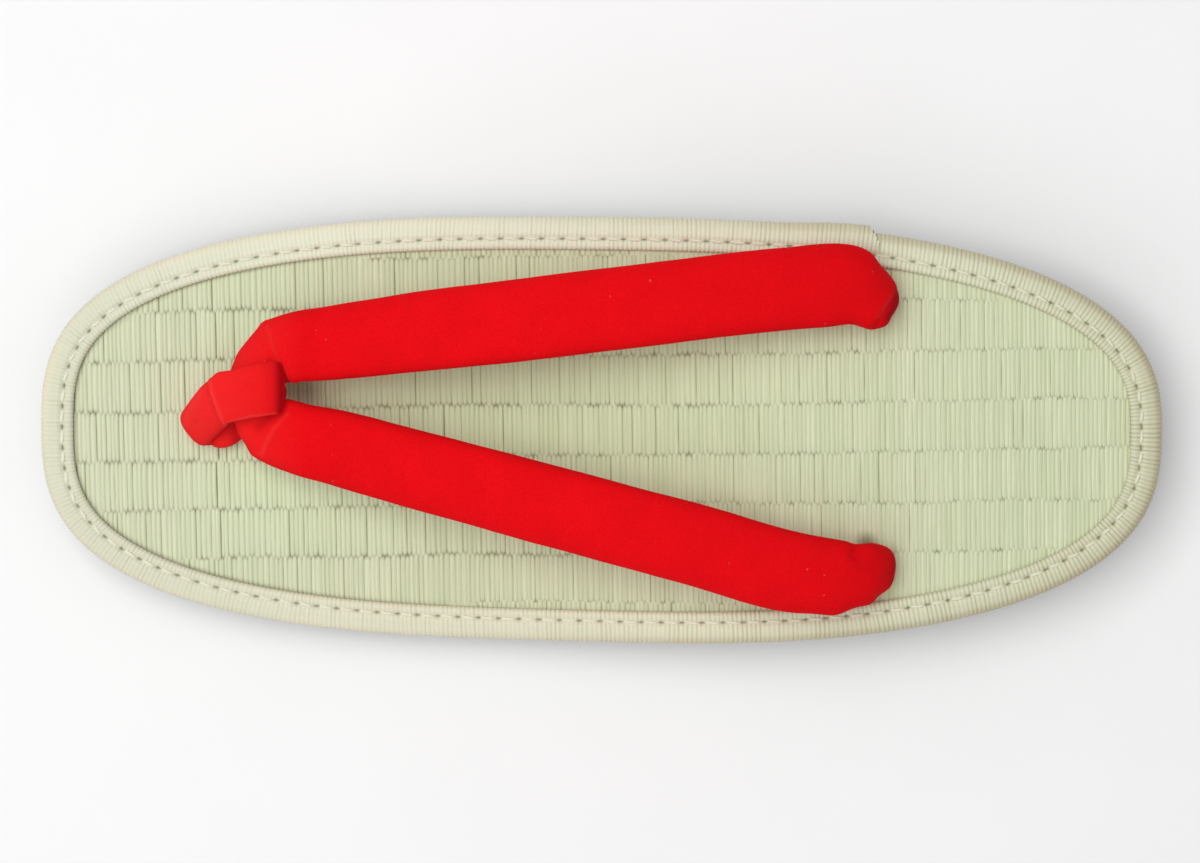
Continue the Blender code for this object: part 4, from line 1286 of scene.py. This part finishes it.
# Soft pulls in millimetres that move the velvet round a place over the floor plan
Pull = namedtuple("Pull", "x y move_x move_y move_z reach")
STRAP_PULLS = table(Pull, (
    (22.6, 71.2, 0.4, 0.2, 0.0, 1.6),
    (18.4, 74.6, -0.05, -0.15, 0.0, 2.4),
    (14.6, 78.0, -0.1, -0.1, 0.0, 1.6),
    (-5.0, 73.6, -0.2, 0.5, 0.0, 1.8),
    (-1.0, 76.0, -0.1, 0.3, 0.0, 2.4),
    (27.0, -64.4, 0.3, 0.7, 0.0, 2.6),
    (24.3, -62.5, 0.8, 1.2, 0.0, 2.4),
    (37.4, -59.8, -0.55, 0.75, 0.0, 4.4),
    (29.5, -64.2, 0.0, 0.0, -1.3, 2.2),
    (-29.4, -63.6, 0.0, 0.0, -1.1, 2.4),
    (22.2, -56.4, -0.6, 0.0, 0.0, 1.8),
    (22.6, -51.0, 0.5, 0.0, 0.0, 3.0),
    (-38.6, -54.6, 1.9, 0.2, 0.0, 4.0),
    (-36.0, -61.4, 1.5, 0.8, 0.0, 3.4),
    (-37.8, -45.6, 0.5, 0.0, 0.0, 4.0),
    (-23.6, -53.2, -1.3, 0.0, 0.0, 1.3),
    (-23.6, -57.4, 0.6, 0.0, 0.0, 1.9),
))
LOOP_PULLS = table(Pull, (
    (12.7, 80.0, 0.6, 0.6, 0.0, 2.0),
))


def line_distance(points, line):
    """Distance over the floor plan from each point to a polyline in millimetres, in metres."""
    nearest = np.full(points.shape[:-1], np.inf)
    for first, second in zip(line, line[1:]):
        start, end = np.array(first) * MM, np.array(second) * MM
        ahead = end - start
        share = ((points[..., :2] - start) @ ahead) / (ahead @ ahead)
        foot = start + np.clip(share, 0.0, 1.0)[..., None] * ahead
        nearest = np.minimum(nearest, np.linalg.norm(points[..., :2] - foot, axis=-1))
    return nearest


def crease(points, facing, creases):
    """How far the creases move each point that faces up, along its facing."""
    move = np.zeros(points.shape[:-1])
    upward = np.clip(rising(UPWARD, facing[..., 2]), 0.0, 1.0)
    for fold in creases:
        distance = line_distance(points, fold.line)
        move -= fold.depth * MM * falloff(distance, fold.reach * MM) * upward
    return move


def pull(points, pulls):
    """The points moved by the soft pulls."""
    moved = points.copy()
    for tug in pulls:
        away = np.hypot(points[..., 0] - tug.x * MM, points[..., 1] - tug.y * MM)
        share = falloff(away, tug.reach * MM)
        moved += share[..., None] * np.array((tug.move_x, tug.move_y, tug.move_z)) * MM
    return moved


# What happens to a velvet tube's surface, as tables of creases, painted highlights, painted shades and pulls
Wear = namedtuple("Wear", "creases rubs shades pulls")


def padded_tube(name, rows, sizes, fineness, wear, seed, material):
    """A velvet tube through its rows, softly lumpy, with its creases, lines of painted highlight and painted
    shade, and pulls.
    """
    sides = round(sizes.sides * fineness)
    stations = smooth_stations(rows, sizes.station_gap / fineness)
    points, facing = sweep_grid(stations, sides)
    points = pull(points, wear.pulls)
    lumps = soft_noise(points, LUMP, seed) + SMALL_LUMP_SHARE * soft_noise(points, SMALL_LUMP, seed + 2)
    move = lumps * sizes.softness + crease(points, facing, wear.creases)
    points = points + facing * move[..., None]
    # Tones of painted highlight and painted shade along their lines
    rubbed, flattened = (np.clip(-crease(points, facing, lines) / MM, 0.0, 1.0)
                         for lines in (wear.rubs, wear.shades))
    tones = np.stack([rubbed, flattened, np.zeros_like(rubbed)], -1).reshape(-1, 3)
    return new_mesh(name, points.reshape(-1, 3), tube_faces(len(stations), sides), material, tones)


class ZORI_OT_rush_mat(bpy.types.Operator):
    """Weaves the rush footbed on its backing"""
    bl_idname = "zori.rush_mat"
    bl_label = "Rush mat"

    def execute(self, context):
        sizes, colours = context.scene.zori_rush, context.scene.zori_colours
        builder = weave_strands(sizes)
        points = np.array(builder.points)
        points[:, 2] += mat_top(points[:, 1])
        tones = np.array(builder.tones)
        # Brown painted shade in spots and under the tape's lip goes into the tip channel
        for stain in STAINS:
            away = np.hypot(points[:, 0] - stain.x * MM, points[:, 1] - stain.y * MM)
            tones[:, 2] = np.maximum(tones[:, 2], stain.depth * falloff(away, stain.reach * MM))
        tones[:, 2] = np.maximum(tones[:, 2], lip_shade(points))
        rushes = new_mesh("rush_strands", points, builder.faces, rush_finish(colours, sizes.turn), tones)
        slab = backing_slab(sizes, backing_finish())
        mat = join([rushes, slab], "woven_footbed")
        stand_for(mat, "rush_mat")
        return {"FINISHED"}


class ZORI_OT_edge_tape(bpy.types.Operator):
    """Folds the ribbed tape round the mat's edge and sews it"""
    bl_idname = "zori.edge_tape"
    bl_label = "Edge tape and seam"

    def execute(self, context):
        sizes, colours = context.scene.zori_tape, context.scene.zori_colours
        stand_for(build_tape(sizes, tape_finish(colours)), "edge_binding")
        seam = build_stitches(sizes, thread_finish(colours))
        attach(seam, "root")
        return {"FINISHED"}


class ZORI_OT_strap(bpy.types.Operator):
    """Stuffs the velvet strap and its toe loop"""
    bl_idname = "zori.strap"
    bl_label = "Strap and toe loop"

    def execute(self, context):
        sizes, velvet = context.scene.zori_strap, velvet_finish(context.scene.zori_colours)
        wear = Wear(STRAP_CREASES, STRAP_RUBS, STRAP_SHADES, STRAP_PULLS)
        arms = padded_tube("velvet_strap", strap_rows(), sizes, 1.0, wear, 4, velvet)
        stand_for(arms, "strap")
        wear = Wear(LOOP_CREASES, LOOP_RUBS, LOOP_SHADES, LOOP_PULLS)
        loop = padded_tube("velvet_toe_loop", loop_rows(), sizes, 1.5, wear, 9, velvet)
        stand_for(loop, "toe_loop")
        return {"FINISHED"}


class ZORI_OT_sole(bpy.types.Operator):
    """Gives the foam wedge and the outsole their finish"""
    bl_idname = "zori.sole"
    bl_label = "Sole"

    def execute(self, context):
        colours = context.scene.zori_colours
        for node, material in (("midsole", foam_finish(colours)), ("outsole", rubber_finish(colours))):
            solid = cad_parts[node]
            solid.data.materials.clear()
            solid.data.materials.append(material)
        return {"FINISHED"}


# The soft panels as name, place, size and power
PANELS = (
    ("key_panel", (0.20, 0.24, 1.04), 0.70, 7.2),
    ("fill_panel", (-0.50, 0.42, 1.00), 1.1, 2.8),
)
WORLD_STRENGTH = 0.38
FLOOR_HALF = 3.0


def add_camera():
    """A camera over the shoe at the photograph's angle, with the toe to the left."""
    data = bpy.data.cameras.new("photo_camera")
    camera = show("photo_camera", data)
    place = Vector((CAMERA_X, CAMERA_Y, CAMERA_HEIGHT))
    aim = Vector((0.0, 0.0, CAMERA_AIM_HEIGHT))
    look = (aim - place).normalized()
    roll = math.radians(CAMERA_ROLL)
    upward = Vector((math.cos(roll), math.sin(roll), 0.0))
    right = look.cross(upward).normalized()
    upward = right.cross(look)
    camera.matrix_world = Matrix.Translation(place) @ Matrix((right, upward, -look)).transposed().to_4x4()
    data.sensor_width = SENSOR_WIDTH
    data.lens = SENSOR_WIDTH * (aim - place).length / FRAME_WIDTH
    bpy.context.scene.camera = camera


def add_panel_light(name, place, size, power):
    """A soft square light that looks at the shoe."""
    data = bpy.data.lights.new(name, "AREA")
    data.size = size
    data.energy = power
    light = show(name, data)
    light.location = place
    light.rotation_euler = (-Vector(place)).to_track_quat("-Z", "Y").to_euler()


def add_floor():
    """The pale floor that the shoe stands on."""
    recipe = Recipe("pale_floor")
    colour = recipe.blend(recipe.cloud(30), (0.90, 0.90, 0.90), (0.93, 0.93, 0.93))
    material = recipe.finish(colour, 0.8)
    points = [(x * FLOOR_HALF, y * FLOOR_HALF, 0.0) for x, y in ((-1, -1), (1, -1), (1, 1), (-1, 1))]
    floor = new_mesh("floor", points, [[0, 1, 2, 3]], material)


class ZORI_OT_stage(bpy.types.Operator):
    """Sets the floor, the soft studio light and the camera"""
    bl_idname = "zori.stage"
    bl_label = "Stage"

    def execute(self, context):
        add_floor()
        for panel in PANELS:
            add_panel_light(*panel)
        world = bpy.data.worlds.new("studio")
        world.use_nodes = True
        shade = world.node_tree.nodes["Background"]
        shade.inputs["Color"].default_value = (1.0, 1.0, 1.0, 1.0)
        shade.inputs["Strength"].default_value = WORLD_STRENGTH
        context.scene.world = world
        context.scene.view_settings.view_transform = "Standard"
        add_camera()
        return {"FINISHED"}


class ZORI_PT_panel(bpy.types.Panel):
    """Lists the sandal's pieces, sizes and colours"""
    bl_label = "Zori sandal"
    bl_idname = "ZORI_PT_panel"
    bl_space_type = "VIEW_3D"
    bl_region_type = "UI"
    bl_category = "Zori"

    def draw(self, context):
        scene = context.scene
        for group, operator in (
            (scene.zori_rush, "zori.rush_mat"),
            (scene.zori_tape, "zori.edge_tape"),
            (scene.zori_strap, "zori.strap"),
            (scene.zori_colours, "zori.sole"),
        ):
            box = self.layout.box()
            for name in group.__annotations__:
                box.prop(group, name)
            box.operator(operator)
        self.layout.operator("zori.stage")


GROUPS = {
    "zori_rush": ZoriRushSizes,
    "zori_tape": ZoriTapeSizes,
    "zori_strap": ZoriStrapSizes,
    "zori_colours": ZoriColours,
}
OPERATORS = (ZORI_OT_rush_mat, ZORI_OT_edge_tape, ZORI_OT_strap, ZORI_OT_sole, ZORI_OT_stage)


def register():
    for group in (*GROUPS.values(), *OPERATORS, ZORI_PT_panel):
        bpy.utils.register_class(group)
    for name, group in GROUPS.items():
        setattr(bpy.types.Scene, name, PointerProperty(type=group))


def unregister():
    for name in GROUPS:
        delattr(bpy.types.Scene, name)
    for group in reversed((*GROUPS.values(), *OPERATORS, ZORI_PT_panel)):
        bpy.utils.unregister_class(group)


def main():
    """Builds every piece in order."""
    register()
    for step in (bpy.ops.zori.sole, bpy.ops.zori.rush_mat, bpy.ops.zori.edge_tape, bpy.ops.zori.strap,
                 bpy.ops.zori.stage):
        step()


if __name__ == "__main__":
    main()
